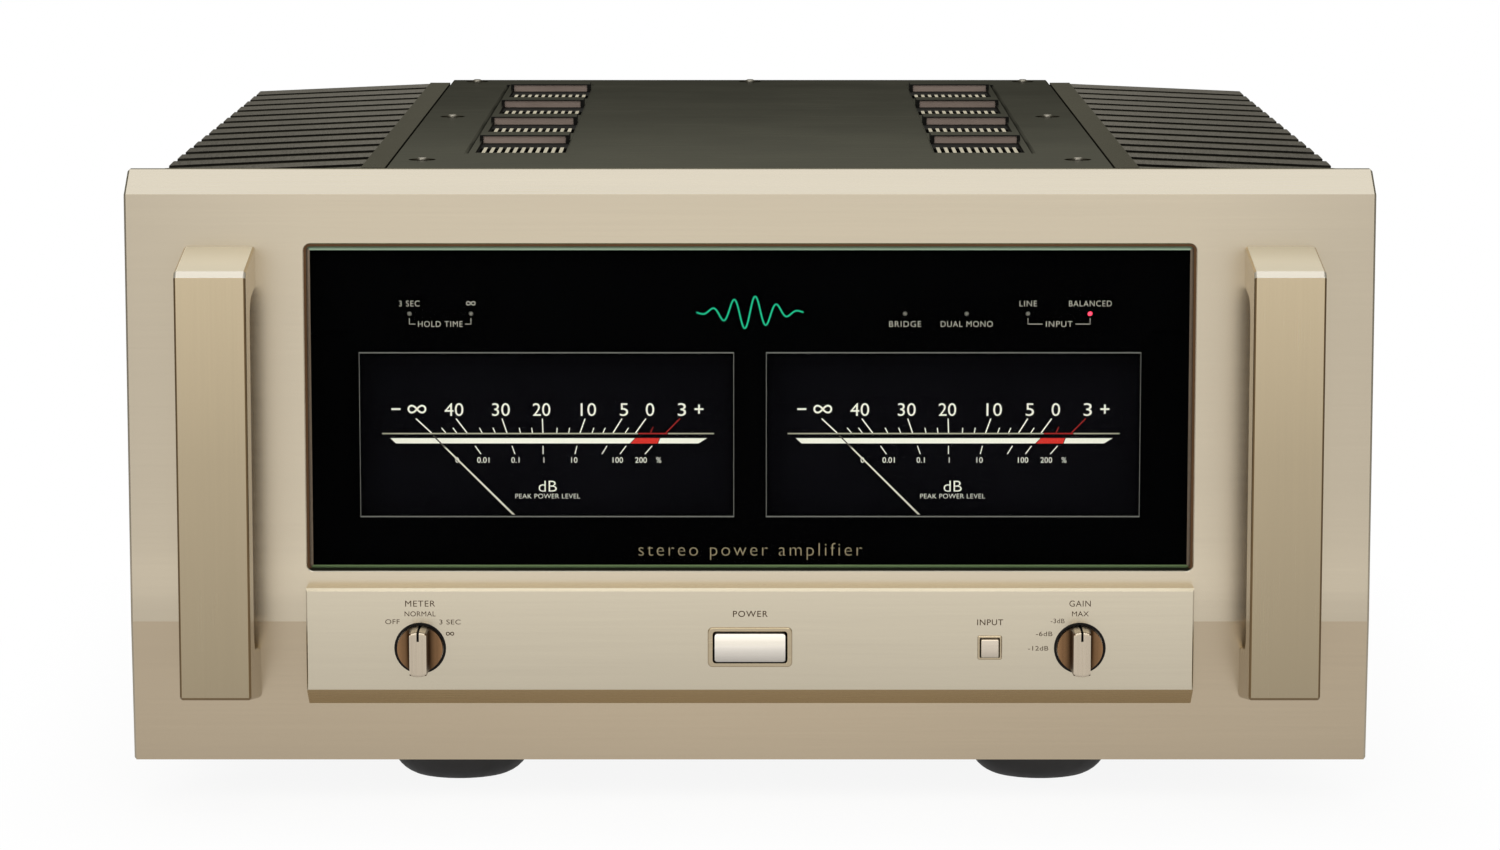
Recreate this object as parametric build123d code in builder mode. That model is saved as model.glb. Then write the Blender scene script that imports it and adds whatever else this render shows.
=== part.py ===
from build123d import *
import math
import os

os.makedirs("parts", exist_ok=True)

# Two-channel hi-fi power amplifier, in millimetres.
# The origin is the floor point under the middle of the overall box.
# The front faces -Y, +X is the right hand side seen from the front, +Z is up.
# Depths (names with _D, _FRONT or _REAR) are counted rearwards from the flat front face
# of the panel, so they are negative in front of it.

# ---- driving dimensions ----
OVERALL_W = 465.0
BODY_H = 238.0                      # top edge of the panel and face of the cover
OVERALL_H = 240.0                   # over the raised vent hoods
OVERALL_D = 515.0
HANDLE_REACH = 37.0
FACE_Y = -OVERALL_D / 2 + HANDLE_REACH
RUNNING_GAP = 0.05                  # radial play round turning and sliding shafts
BOARD_T = 1.6                       # every circuit board

# Case shell, shared by many pieces
PANEL_T, SUB_T = 18.0, 2.5          # front panel and the plate behind it
SUB_REAR = PANEL_T + SUB_T
CASE_Z0, PLATE_T = 17.0, 3.0
FLOOR_Z = CASE_Z0 + PLATE_T         # top of the bottom plate
COVER_T = 4.0
COVER_UNDER_Z = BODY_H - COVER_T
LIP_W = 272.0                       # folded lips that carry the cover
SINK_X0, SINK_X1, FIN_X1 = 137.0, 146.0, 224.8
SINK_D0, SINK_D1 = 20.6, 443.0
REAR_T = 3.0
REAR_FACE = SINK_D1 + REAR_T        # outer face of the rear panel
REAR_END = OVERALL_D - HANDLE_REACH # rearmost point
FOOT_X, FOOT_DS = 112.0, (61.0, 385.0)

# Front openings
WIN_X, WIN_Z0, WIN_Z1, WIN_R = 166.0, 88.2, 211.4, 2.5
HANDLE_X, HANDLE_W = 197.2, 26.4
HANDLE_SCREW_ZS = (49.2, 202.7)
POWER_X, POWER_Z = 0.0, 60.7
POWER_HOLE = (27.9, 12.1, 1.2)      # width, height, corner radius
INPUT_X, INPUT_Z, INPUT_HOLE = 89.7, 60.5, 7.5
KNOB_X, KNOB_Z, KNOB_R, KNOB_PROUD = 123.4, 60.3, 8.5, 14.0
SHAFT_R, SHAFT_HOLE_R = 3.0, 4.0
PIVOT_X, PIVOT_Z = 76.4, 94.8       # meter needle pivots

# Cover and rear screws
SCREW_R, TAPPED_R, CLEAR_R = 1.9, 1.95, 2.1
FLANGE_SCREW_R, FLANGE_HOLE_R, FLANGE_HEAD_R = 1.5, 1.6, 2.6

# Rear connectors
POST_XS, POST_Z = (-105.0, -60.0, 60.0, 105.0), 100.0
XLR_X, JACK_X, AUDIO_Z = 60.0, 102.0, 182.0
INLET_Z, INLET_SCREW_X = 50.0, 20.0


def at(depth):
    """Y of a depth behind the panel face."""
    return FACE_Y + depth


def facing(depth):
    """A plane parallel to the panel; local x, y are X, Z and its normal points forwards."""
    return Plane(origin=(0, at(depth), 0), x_dir=(1, 0, 0), z_dir=(0, -1, 0))


def mid(low, high):
    return (low + high) / 2


def pair(x, other):
    """A point and its mirror image in X, left one first."""
    return ((-x, other), (x, other))


def xlr_screws(side):
    """The two flange screws of one balanced socket, on a diagonal."""
    return [(side * XLR_X + sign * 9.5, AUDIO_Z + sign * 12.0) for sign in (-1, 1)]


def save(piece, name):
    piece.part.label = name
    export_step(piece.part, f"parts/{name}.step")


def save_with_twin(piece, source_name, twin_name):
    """Write a piece and its mirror image on the other side."""
    save(piece, source_name)
    with BuildPart() as twin:
        mirror(piece.part, about=Plane.YZ)
    save(twin, twin_name)


SIDES = ((-1, "left"), (1, "right"))
KNOB_CENTRES = pair(KNOB_X, KNOB_Z)
FOOT_CENTRES = [(side * FOOT_X, at(depth)) for side in (-1, 1) for depth in FOOT_DS]
SINK_SCREW_X, SINK_SCREW_ZS = mid(SINK_X0, SINK_X1), (45, 125, 205)
# Cover screws (x, y): a pair in front, a pair in the heatsink rails, three at the back.
COVER_SCREW_X, COVER_SCREW_DS = 125, (54, 254, 450)
FRONT_COVER_SCREWS, SINK_COVER_SCREWS, REAR_COVER_SCREWS = (
    pair(COVER_SCREW_X, at(depth)) for depth in COVER_SCREW_DS)
REAR_COVER_SCREWS += ((0, at(COVER_SCREW_DS[-1])),)
COVER_SCREWS = FRONT_COVER_SCREWS + SINK_COVER_SCREWS + REAR_COVER_SCREWS


# ================= front panel and handles =================
PANEL_Z0, KNEE_Z, LEAN = 15.3, 69.0, 4.0
BEVEL_Z, BEVEL_D = 230.0, 14.0
STRIP_X = 166.0
STRIP_Z0, STRIP_FLAT_Z0, STRIP_Z1 = 37.3, 44.5, 82.9
STRIP_FRONT, STRIP_SEAT = -8.0, 3.0     # front face and rear face of the control panel
STRIP_BEVEL = 1.0
KNOB_FRONT = STRIP_FRONT - KNOB_PROUD
RING_SEAT = STRIP_FRONT + 2.2
WIN_W, WIN_H, WIN_MID_Z = 2 * WIN_X, WIN_Z1 - WIN_Z0, mid(WIN_Z0, WIN_Z1)


def lean_depth(z):
    """Depth of the panel face below its knee."""
    return (KNEE_Z - z) / (KNEE_Z - PANEL_Z0) * LEAN if z < KNEE_Z else 0.0


# Thick machined front panel: bevelled top edge, lower part leaning back from the knee.
with BuildPart() as front_panel:
    with BuildSketch(Plane.YZ):
        with BuildLine():
            Polyline(
                (at(0), KNEE_Z), (at(0), BEVEL_Z), (at(BEVEL_D), BODY_H), (at(PANEL_T), BODY_H),
                (at(PANEL_T), PANEL_Z0), (at(LEAN), PANEL_Z0), close=True)
        make_face()
    extrude(amount=OVERALL_W / 2, both=True)
    end_edges = front_panel.faces().filter_by(Axis.X).edges()
    chamfer(end_edges.filter_by(lambda edge: edge.center().Y < at(PANEL_T - 1)), 0.8)
    with BuildSketch(facing(-1)):
        with Locations((0, WIN_MID_Z)):
            RectangleRounded(WIN_W, WIN_H, WIN_R)
    extrude(amount=-(PANEL_T + 2), mode=Mode.SUBTRACT)
    chamfer(front_panel.faces().filter_by(Axis.Y).sort_by(Axis.Y)[0].inner_wires().edges(), 0.4)
    # pocket that seats the raised control panel
    with BuildSketch(facing(STRIP_SEAT)):
        with Locations((0, mid(STRIP_Z0, STRIP_Z1))):
            Rectangle(2 * STRIP_X, STRIP_Z1 - STRIP_Z0)
    extrude(amount=20, mode=Mode.SUBTRACT)
    # passages for buttons and knob shafts
    with BuildSketch(facing(PANEL_T + 1)):
        with Locations((POWER_X, POWER_Z)):
            RectangleRounded(*POWER_HOLE)
        with Locations((INPUT_X, INPUT_Z)):
            Rectangle(INPUT_HOLE, INPUT_HOLE)
        with Locations(*KNOB_CENTRES):
            Circle(SHAFT_HOLE_R)
    extrude(amount=PANEL_T, mode=Mode.SUBTRACT)
    # counterbored holes for the handle screws, from behind
    for screw_z in HANDLE_SCREW_ZS:
        with Locations(*[Location((x, at(PANEL_T), screw_z), (-90, 0, 0))
                         for x in (-HANDLE_X, HANDLE_X)]):
            CounterBoreHole(radius=3.3, counter_bore_radius=5.6, counter_bore_depth=7.0,
                            depth=PANEL_T + 2)
save(front_panel, "front_panel")

# Raised control panel, with a chamfered top edge and a sloping underside.
with BuildPart() as control_panel:
    with BuildSketch(Plane.YZ):
        with BuildLine():
            Polyline(
                (at(STRIP_SEAT), STRIP_Z0), (at(lean_depth(STRIP_Z0)), STRIP_Z0),
                (at(STRIP_FRONT), STRIP_FLAT_Z0), (at(STRIP_FRONT), STRIP_Z1 - STRIP_BEVEL),
                (at(STRIP_FRONT + STRIP_BEVEL), STRIP_Z1), (at(STRIP_SEAT), STRIP_Z1), close=True)
        make_face()
    extrude(amount=STRIP_X - 0.02, both=True)
    end_edges = control_panel.faces().filter_by(Axis.X).edges()
    chamfer(end_edges.filter_by(Axis.Z).sort_by(Axis.Y)[:2], 0.5)
    with BuildSketch(facing(STRIP_SEAT + 1)):
        with Locations((POWER_X, POWER_Z)):
            RectangleRounded(31.6, 15.1, 1.8)
        with Locations((INPUT_X, INPUT_Z)):
            RectangleRounded(9.2, 9.2, 0.8)
        with Locations(*KNOB_CENTRES):
            Circle(SHAFT_HOLE_R)
    extrude(amount=20, mode=Mode.SUBTRACT)
    # shallow seats for the rings round the knobs
    with BuildSketch(facing(RING_SEAT)):
        with Locations(*KNOB_CENTRES):
            Circle(9.7)
    extrude(amount=10, mode=Mode.SUBTRACT)
save(control_panel, "control_panel")

# Bar handle: one thick bar on two short legs, outer faces sloping in towards the front.
BAR_REAR = -22.0
with BuildPart() as handle_right:
    with BuildSketch(Plane.YZ.offset(HANDLE_X)) as handle_side:
        with BuildLine():
            Polyline(
                (at(lean_depth(39.5)), 39.5), (at(-36.0), 46.0), (at(-HANDLE_REACH), 47.0),
                (at(-HANDLE_REACH), 203.0), (at(-35.0), 205.2), (at(0), 210.5), (at(0), 195.0),
                (at(BAR_REAR), 192.0), (at(BAR_REAR), 62.0), (at(lean_depth(59.0)), 59.0),
                close=True)
        make_face()
        fillet(handle_side.vertices().filter_by(
            lambda vertex: abs(vertex.X - at(BAR_REAR)) < 0.1), 8.0)
    extrude(amount=HANDLE_W / 2, both=True)
    side_edges = handle_right.faces().filter_by(Axis.X).edges()
    chamfer(side_edges.filter_by(lambda edge: edge.center().Y < at(-1.5)), 0.8)
    for screw_z in HANDLE_SCREW_ZS:
        with Locations(Location((HANDLE_X, at(1.0), screw_z), (-90, 0, 0))):
            Hole(radius=3.05, depth=15)
save_with_twin(handle_right, "handle_right", "handle_left")


# ================= window and meters =================
GASKET_W, GLASS_T, GLASS_REAR = 0.9, 5.0, 5.5
GLASS = (WIN_W - 2 * GASKET_W, WIN_H - 2 * GASKET_W, WIN_R - GASKET_W)  # width, height, radius
MASK_FLOOR = 7.0                        # rear face of the mask's front wall
METER_X0, METER_X1 = 6.6, 145.6
METER_Z0, METER_Z1 = 108.5, 169.5
LAMP_XS, LAMP_Z = (-127.2, -104.2, 57.9, 80.9, 103.8, 127.0), 184.6
DISPLAY_BOARD_D = 12.0                  # front face of the display board
DIAL_T = 1.6
ARBOR_R = 1.0
NEEDLE_L = 60.5

# Thin gasket round the window glass.
with BuildPart() as window_gasket:
    with BuildSketch(facing(GLASS_REAR)):
        with Locations((0, WIN_MID_Z)):
            RectangleRounded(WIN_W, WIN_H, WIN_R)
            RectangleRounded(*GLASS, mode=Mode.SUBTRACT)
    extrude(amount=GLASS_T)
save(window_gasket, "window_gasket")

# Window glass with a chamfer round its front edge.
with BuildPart() as window_glass:
    with BuildSketch(facing(GLASS_REAR)):
        with Locations((0, WIN_MID_Z)):
            RectangleRounded(*GLASS)
    extrude(amount=GLASS_T)
    chamfer(window_glass.faces().sort_by(Axis.Y)[0].outer_wire().edges(), 1.4)
save(window_glass, "window_glass")

# Light shield behind the glass: a tray with two meter windows, lamp holes and partitions.
with BuildPart() as display_mask:
    with BuildSketch(facing(PANEL_T)):
        with Locations((0, WIN_MID_Z)):
            RectangleRounded(WIN_W - 0.4, WIN_H - 0.4, WIN_R - 0.3)
    extrude(amount=PANEL_T - GLASS_REAR)
    # two meter compartments and one for the display board
    with BuildSketch(facing(PANEL_T)):
        with Locations(*pair(82.2, 133.7)):
            Rectangle(162.8, 86.6)
        with Locations((0, 194.0)):
            Rectangle(327.2, 31.0)
    extrude(amount=PANEL_T - MASK_FLOOR, mode=Mode.SUBTRACT)
    with BuildSketch(facing(MASK_FLOOR + 1)):
        with Locations(*pair(mid(METER_X0, METER_X1), mid(METER_Z0, METER_Z1))):
            Rectangle(METER_X1 - METER_X0, METER_Z1 - METER_Z0)
        with Locations(*[(x, LAMP_Z) for x in LAMP_XS]):
            Circle(0.9)
    extrude(amount=5, mode=Mode.SUBTRACT)
    opening_edges = display_mask.faces().filter_by(Axis.Y).sort_by(Axis.Y)[0].inner_wires().edges()
    chamfer(opening_edges.filter_by(lambda edge: edge.length > 20), 0.5)
    # pegs between the front wall and the display board
    with BuildSketch(facing(DISPLAY_BOARD_D)):
        with Locations((-150, 196), (0, 196), (150, 196)):
            Circle(3.0)
    extrude(amount=DISPLAY_BOARD_D - MASK_FLOOR)
save(display_mask, "display_mask")

with BuildPart() as display_board:
    with BuildSketch(facing(DISPLAY_BOARD_D + BOARD_T)):
        with Locations((0, 193.5)):
            Rectangle(322, 28)
    extrude(amount=BOARD_T)
save(display_board, "display_board")

# Round indicator lamps standing on the display board: a wide base and a thin domed tip.
BASE_R, TIP_R, DOME_START = 1.9, 0.8, 5.4
with BuildPart() as indicator_lamps:
    for lamp_x in LAMP_XS:
        with BuildSketch(Plane.XY):
            with BuildLine():
                Polyline((0, 0), (BASE_R, 0), (BASE_R, 4.2), (TIP_R, 4.4), (TIP_R, DOME_START))
                CenterArc((0, DOME_START), TIP_R, 0, 90)
                Line((0, DOME_START + TIP_R), (0, 0))
            make_face()
        lamp = revolve(axis=Axis.Y, mode=Mode.PRIVATE)
        add(Location((lamp_x, at(DISPLAY_BOARD_D), LAMP_Z), (180, 0, 0)) * lamp)
save(indicator_lamps, "indicator_lamps")

# Meter scale plates with a clearance hole for the needle hub.
with BuildPart() as meter_dial_right:
    with BuildSketch(facing(PANEL_T)):
        with Locations((PIVOT_X, 133.4)):
            Rectangle(146.0, 84.0)
        with Locations((PIVOT_X, PIVOT_Z)):
            Circle(6.0, mode=Mode.SUBTRACT)
    extrude(amount=DIAL_T)
save_with_twin(meter_dial_right, "meter_dial_right", "meter_dial_left")

# Moving-coil movements: a can let through the sub front plate, a flange behind it and a bore.
CAN_R, CAN_REAR, CAN_FLANGE_T = 14.0, 36.0, 2.0
with BuildPart() as meter_movement_right:
    with BuildSketch(facing(CAN_REAR)):
        with Locations((PIVOT_X, PIVOT_Z)):
            Circle(CAN_R)
    extrude(amount=CAN_REAR - PANEL_T)
    with BuildSketch(facing(SUB_REAR + CAN_FLANGE_T)):
        with Locations((PIVOT_X, PIVOT_Z)):
            Circle(18.0)
    extrude(amount=CAN_FLANGE_T)
    with BuildSketch(facing(30.0)):
        with Locations((PIVOT_X, PIVOT_Z)):
            Circle(ARBOR_R + RUNNING_GAP)
    extrude(amount=20.0, mode=Mode.SUBTRACT)
save_with_twin(meter_movement_right, "meter_movement_right", "meter_movement_left")

# Needle: hub, arbor and a long tapered pointer, resting 45 degrees to the left.
ROOT_HALF_W, TIP_HALF_W = 0.38, 0.2
for side, side_name in SIDES:
    with BuildPart() as needle:
        with BuildSketch(facing(15.0)):
            with Locations((side * PIVOT_X, PIVOT_Z)):
                Circle(4.0)
        extrude(amount=2.6)
        with BuildSketch(facing(29.5)):
            with Locations((side * PIVOT_X, PIVOT_Z)):
                Circle(ARBOR_R)
        extrude(amount=16.0)
        pointer_plane = Plane(origin=(side * PIVOT_X, at(13.4), PIVOT_Z),
                              x_dir=(1, 0, 1), z_dir=(0, -1, 0))
        with BuildSketch(pointer_plane):
            with BuildLine():
                Polyline((-ROOT_HALF_W, 0), (ROOT_HALF_W, 0), (TIP_HALF_W, NEEDLE_L),
                         (-TIP_HALF_W, NEEDLE_L), close=True)
            make_face()
        extrude(amount=0.5)
    save(needle, f"meter_needle_{side_name}")

# Plate behind the front panel; its folded top edge carries the front of the top cover.
SUB_TOP_Z, SUB_LIP_D = 230.0, 64.0
with BuildPart() as sub_front_plate:
    with BuildSketch(facing(SUB_REAR)):
        with Locations((0, mid(CASE_Z0, SUB_TOP_Z))):
            Rectangle(440, SUB_TOP_Z - CASE_Z0)
        with Locations((0, mid(SUB_TOP_Z, COVER_UNDER_Z))):
            Rectangle(LIP_W, COVER_UNDER_Z - SUB_TOP_Z)
        with Locations((POWER_X, POWER_Z)):
            RectangleRounded(*POWER_HOLE, mode=Mode.SUBTRACT)
        with Locations((INPUT_X, INPUT_Z)):
            Rectangle(INPUT_HOLE, INPUT_HOLE, mode=Mode.SUBTRACT)
        with Locations(*KNOB_CENTRES):
            Circle(SHAFT_HOLE_R, mode=Mode.SUBTRACT)
        with Locations(*pair(PIVOT_X, PIVOT_Z)):
            Circle(CAN_R + 0.1, mode=Mode.SUBTRACT)
    extrude(amount=SUB_T)
    with BuildSketch(Plane.XY.offset(COVER_UNDER_Z - SUB_T)):
        with Locations((0, mid(at(PANEL_T), at(SUB_LIP_D)))):
            Rectangle(LIP_W, SUB_LIP_D - PANEL_T)
        with Locations(*FRONT_COVER_SCREWS):
            Circle(TAPPED_R, mode=Mode.SUBTRACT)
    extrude(amount=SUB_T)
save(sub_front_plate, "sub_front_plate")


# ================= controls =================
PLUNGER_REAR, PLUNGER_L = 26.0, 27.5    # both buttons
INPUT_PLUNGER_R = 2.0

with BuildPart() as power_button_bezel:
    with BuildSketch(facing(STRIP_SEAT)):
        with Locations((POWER_X, POWER_Z)):
            RectangleRounded(31.5, 15.0, 1.75)
            RectangleRounded(*POWER_HOLE, mode=Mode.SUBTRACT)
    extrude(amount=STRIP_SEAT - STRIP_FRONT + 0.7)
    chamfer(power_button_bezel.faces().sort_by(Axis.Y)[0].outer_wire().edges(), 0.35)
save(power_button_bezel, "power_button_bezel")

# Wide push button with a crowned face and a plunger into its switch.
CROWN_EDGE, CROWN_TOP, CROWN_CLEAR = -9.6, -11.2, -16.0
CROWN_Z0, CROWN_Z1 = POWER_Z - 5.6, POWER_Z + 5.6
with BuildPart() as power_button:
    with BuildSketch(facing(-1.0)):
        with Locations((POWER_X, POWER_Z)):
            RectangleRounded(26.4, 10.6, 1.0)
    extrude(amount=12.0)
    with BuildSketch(Plane.YZ.offset(POWER_X)):
        with BuildLine():
            crown = ThreePointArc((at(CROWN_EDGE), CROWN_Z0), (at(CROWN_TOP), POWER_Z),
                                  (at(CROWN_EDGE), CROWN_Z1))
            Polyline(crown @ 1, (at(CROWN_CLEAR), CROWN_Z1), (at(CROWN_CLEAR), CROWN_Z0),
                     crown @ 0)
        make_face()
    extrude(amount=20, both=True, mode=Mode.SUBTRACT)
    with BuildSketch(facing(PLUNGER_REAR)):
        with Locations((POWER_X, POWER_Z)):
            Circle(SHAFT_R)
    extrude(amount=PLUNGER_L)
save(power_button, "power_button")

POWER_SWITCH_REAR = 52.0
with BuildPart() as power_switch:
    with BuildSketch(facing(POWER_SWITCH_REAR)):
        with Locations((POWER_X, POWER_Z)):
            RectangleRounded(34, 18, 1.5)
    extrude(amount=POWER_SWITCH_REAR - SUB_REAR)
    with BuildSketch(facing(32.0)):
        with Locations((POWER_X, POWER_Z)):
            Circle(SHAFT_R + RUNNING_GAP)
    extrude(amount=20, mode=Mode.SUBTRACT)
save(power_switch, "power_switch")

with BuildPart() as input_button_bezel:
    with BuildSketch(facing(STRIP_SEAT)):
        with Locations((INPUT_X, INPUT_Z)):
            RectangleRounded(9.1, 9.1, 0.75)
            RectangleRounded(INPUT_HOLE, INPUT_HOLE, 0.4, mode=Mode.SUBTRACT)
    extrude(amount=STRIP_SEAT - STRIP_FRONT + 0.5)
    chamfer(input_button_bezel.faces().sort_by(Axis.Y)[0].outer_wire().edges(), 0.25)
save(input_button_bezel, "input_button_bezel")

with BuildPart() as input_button:
    with BuildSketch(facing(-1.0)):
        with Locations((INPUT_X, INPUT_Z)):
            RectangleRounded(6.6, 6.8, 0.5)
    extrude(amount=9.6)
    fillet(input_button.faces().sort_by(Axis.Y)[0].edges(), 0.4)
    with BuildSketch(facing(PLUNGER_REAR)):
        with Locations((INPUT_X, INPUT_Z)):
            Circle(INPUT_PLUNGER_R)
    extrude(amount=PLUNGER_L)
save(input_button, "input_button")

INPUT_SWITCH_REAR = 34.0
with BuildPart() as input_switch:
    with BuildSketch(facing(INPUT_SWITCH_REAR)):
        with Locations((INPUT_X, INPUT_Z)):
            Rectangle(13, 13)
    extrude(amount=INPUT_SWITCH_REAR - SUB_REAR)
    with BuildSketch(facing(30.0)):
        with Locations((INPUT_X, INPUT_Z)):
            Circle(INPUT_PLUNGER_R + RUNNING_GAP)
    extrude(amount=20, mode=Mode.SUBTRACT)
save(input_switch, "input_switch")

# Knob: round skirt with a grip blade left standing between two scoops, pointer groove on top.
SCOOP_FLOOR = STRIP_FRONT - 2.1
SHAFT_FRONT = STRIP_FRONT - 9.0
GROOVE_FLOOR = KNOB_FRONT + 0.8
SKIRT_GROOVE_END = STRIP_FRONT + 0.2
with BuildPart() as gain_knob:
    with BuildSketch(facing(STRIP_FRONT + 0.6)):
        with Locations((KNOB_X, KNOB_Z)):
            Circle(KNOB_R)
    extrude(amount=KNOB_PROUD + 0.6)
    fillet(gain_knob.faces().sort_by(Axis.Y)[0].edges(), 1.0)
    for side in (-1, 1):
        # corners of the scoop: blade at its front and root, flat of the skirt, outside
        blade_front = (KNOB_X + side * 3.1, at(KNOB_FRONT - 2))
        blade_root = (KNOB_X + side * 3.4, at(STRIP_FRONT - 5.0))
        skirt_start = (KNOB_X + side * 6.6, at(SCOOP_FLOOR))
        outside_x = KNOB_X + side * 12
        with BuildSketch(Plane.XY.offset(KNOB_Z)):
            with BuildLine():
                Line(blade_front, blade_root)
                ThreePointArc(blade_root, (KNOB_X + side * 4.3, at(STRIP_FRONT - 2.9)),
                              skirt_start)
                Polyline(skirt_start, (outside_x, at(SCOOP_FLOOR)),
                         (outside_x, at(KNOB_FRONT - 2)), blade_front)
            make_face()
        extrude(amount=12, both=True, mode=Mode.SUBTRACT)
    # pointer groove along the upper end of the blade
    with BuildSketch(Plane.YZ.offset(KNOB_X)):
        with BuildLine():
            Polyline(
                (at(KNOB_FRONT - 1), KNOB_Z + 5.0), (at(GROOVE_FLOOR), KNOB_Z + 5.0),
                (at(GROOVE_FLOOR), KNOB_Z + 7.4), (at(SKIRT_GROOVE_END), KNOB_Z + 7.7),
                (at(SKIRT_GROOVE_END), KNOB_Z + 10), (at(KNOB_FRONT - 1), KNOB_Z + 10), close=True)
        make_face()
    extrude(amount=0.45, both=True, mode=Mode.SUBTRACT)
    with BuildSketch(facing(0)):
        with Locations((KNOB_X, KNOB_Z)):
            Circle(SHAFT_R)
    extrude(amount=-SHAFT_FRONT, mode=Mode.SUBTRACT)
save_with_twin(gain_knob, "gain_knob", "meter_knob")

SHAFT_REAR = 40.0
with BuildPart() as gain_knob_shaft:
    with BuildSketch(facing(SHAFT_REAR)):
        with Locations((KNOB_X, KNOB_Z)):
            Circle(SHAFT_R)
    extrude(amount=SHAFT_REAR - SHAFT_FRONT)
save_with_twin(gain_knob_shaft, "gain_knob_shaft", "meter_knob_shaft")

with BuildPart() as knob_rings:
    for centre in KNOB_CENTRES:
        with BuildSketch(facing(RING_SEAT)):
            with Locations(centre):
                Circle(9.65)
                Circle(8.75, mode=Mode.SUBTRACT)
        extrude(amount=2.5)
save(knob_rings, "knob_rings")

ROTARY_REAR = 42.0
with BuildPart() as rotary_switches:
    for centre in KNOB_CENTRES:
        with BuildSketch(facing(ROTARY_REAR)):
            with Locations(centre):
                Circle(13.0)
        extrude(amount=ROTARY_REAR - SUB_REAR)
        with BuildSketch(facing(SHAFT_REAR + 1)):
            with Locations(centre):
                Circle(SHAFT_R + RUNNING_GAP)
        extrude(amount=30, mode=Mode.SUBTRACT)
save(rotary_switches, "rotary_switches")


# ================= chassis =================
SINK_MID_D, SINK_L = mid(SINK_D0, SINK_D1), SINK_D1 - SINK_D0
RAIL_X0, RAIL_D0, RAIL_D1, RAIL_T = 117.0, 65.0, 440.0, 4.0
FIN_T, FIN_PITCH, FIN_N, FIN_D0 = 5.0, 29.3, 15, 26.0
FIN_Z0, FIN_TIP_Z = 24.0, BODY_H - 3.5
FIN_ROOT_X = SINK_X1 - 1

# Finned heatsink: upright web, inner rail under the cover, 15 fins with sloping tops.
with BuildPart() as heatsink_right:
    with BuildSketch(Plane.XY.offset(FLOOR_Z)):
        with Locations((mid(SINK_X0, SINK_X1), at(SINK_MID_D))):
            Rectangle(SINK_X1 - SINK_X0, SINK_L)
    extrude(amount=BODY_H - FLOOR_Z)
    with BuildSketch(Plane.XY.offset(COVER_UNDER_Z - RAIL_T)):
        with Locations((mid(RAIL_X0, SINK_X0), at(mid(RAIL_D0, RAIL_D1)))):
            Rectangle(SINK_X0 - RAIL_X0, RAIL_D1 - RAIL_D0)
        with Locations(SINK_COVER_SCREWS[1]):
            Circle(TAPPED_R, mode=Mode.SUBTRACT)
    extrude(amount=RAIL_T)
    for n in range(FIN_N):
        with BuildSketch(facing(FIN_D0 + n * FIN_PITCH + FIN_T / 2)):
            with BuildLine():
                Polyline(
                    (FIN_ROOT_X, FIN_Z0), (FIN_X1 - 3, FIN_Z0), (FIN_X1, FIN_Z0 + 3),
                    (FIN_X1, FIN_TIP_Z - 1.5), (FIN_X1 - 1.5, FIN_TIP_Z),
                    (FIN_ROOT_X, BODY_H - 0.05), close=True)
            make_face()
        extrude(amount=FIN_T)
    # the long sloping top edges of the fins
    chamfer(heatsink_right.edges().filter_by(
        lambda edge: edge.center().Z > FIN_TIP_Z - 0.2 and 60 < edge.length < 90
        and edge.center().X > SINK_X1 + 10), 1.3)
    # tapped holes in the rear end of the web
    with BuildSketch(facing(SINK_D1)):
        with Locations(*[(SINK_SCREW_X, z) for z in SINK_SCREW_ZS]):
            Circle(TAPPED_R)
    extrude(amount=10, mode=Mode.SUBTRACT)
save_with_twin(heatsink_right, "heatsink_right", "heatsink_left")

with BuildPart() as bottom_plate:
    with BuildSketch(Plane.XY.offset(CASE_Z0)):
        with Locations((0, at(SINK_MID_D))):
            Rectangle(2 * SINK_X1, SINK_L)
        with Locations(*FOOT_CENTRES):
            Circle(2.6, mode=Mode.SUBTRACT)
        # two rows of ventilation slots, inside the heatsinks
        with Locations(*[(x, at(depth)) for x in (-106, 106) for depth in range(130, 340, 16)]):
            SlotOverall(34, 5, mode=Mode.SUBTRACT)
    extrude(amount=PLATE_T)
save(bottom_plate, "bottom_plate")

COVER_X, COVER_D0, COVER_D1 = 136.6, 18.2, 460.0
VENT_X0, VENT_X1 = 71.0, 109.0
VENT_D0, VENT_D1 = 80.0, 430.0
VENT_W, VENT_L = VENT_X1 - VENT_X0, VENT_D1 - VENT_D0
VENT_MID_X, VENT_MID_Y = mid(VENT_X0, VENT_X1), at(mid(VENT_D0, VENT_D1))

# Top cover with two long vent openings, their outer edges bevelled, and countersunk screw holes.
with BuildPart() as top_cover:
    with BuildSketch(Plane.XY.offset(COVER_UNDER_Z)):
        with Locations((0, at(mid(COVER_D0, COVER_D1)))):
            Rectangle(2 * COVER_X, COVER_D1 - COVER_D0)
        with Locations(*pair(VENT_MID_X, VENT_MID_Y)):
            Rectangle(VENT_W, VENT_L, mode=Mode.SUBTRACT)
        with Locations(*COVER_SCREWS):
            Circle(CLEAR_R, mode=Mode.SUBTRACT)
    extrude(amount=COVER_T)
    chamfer(top_cover.faces().sort_by(Axis.Z)[-1].outer_wire().edges(), 0.6)
    chamfer(top_cover.edges().filter_by(Axis.Y).filter_by(
        lambda edge: abs(abs(edge.center().X) - VENT_X1) < 0.1
        and edge.center().Z > BODY_H - 0.1), 1.6)
    for centre in COVER_SCREWS:
        with BuildSketch(Plane.XY.offset(BODY_H)):
            with Locations(centre):
                Circle(5.2)
        extrude(amount=-1.0, taper=57, mode=Mode.SUBTRACT)
        with BuildSketch(Plane.XY.offset(BODY_H)):
            with Locations(centre):
                Circle(3.6)
        extrude(amount=-3.0, mode=Mode.SUBTRACT)
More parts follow.
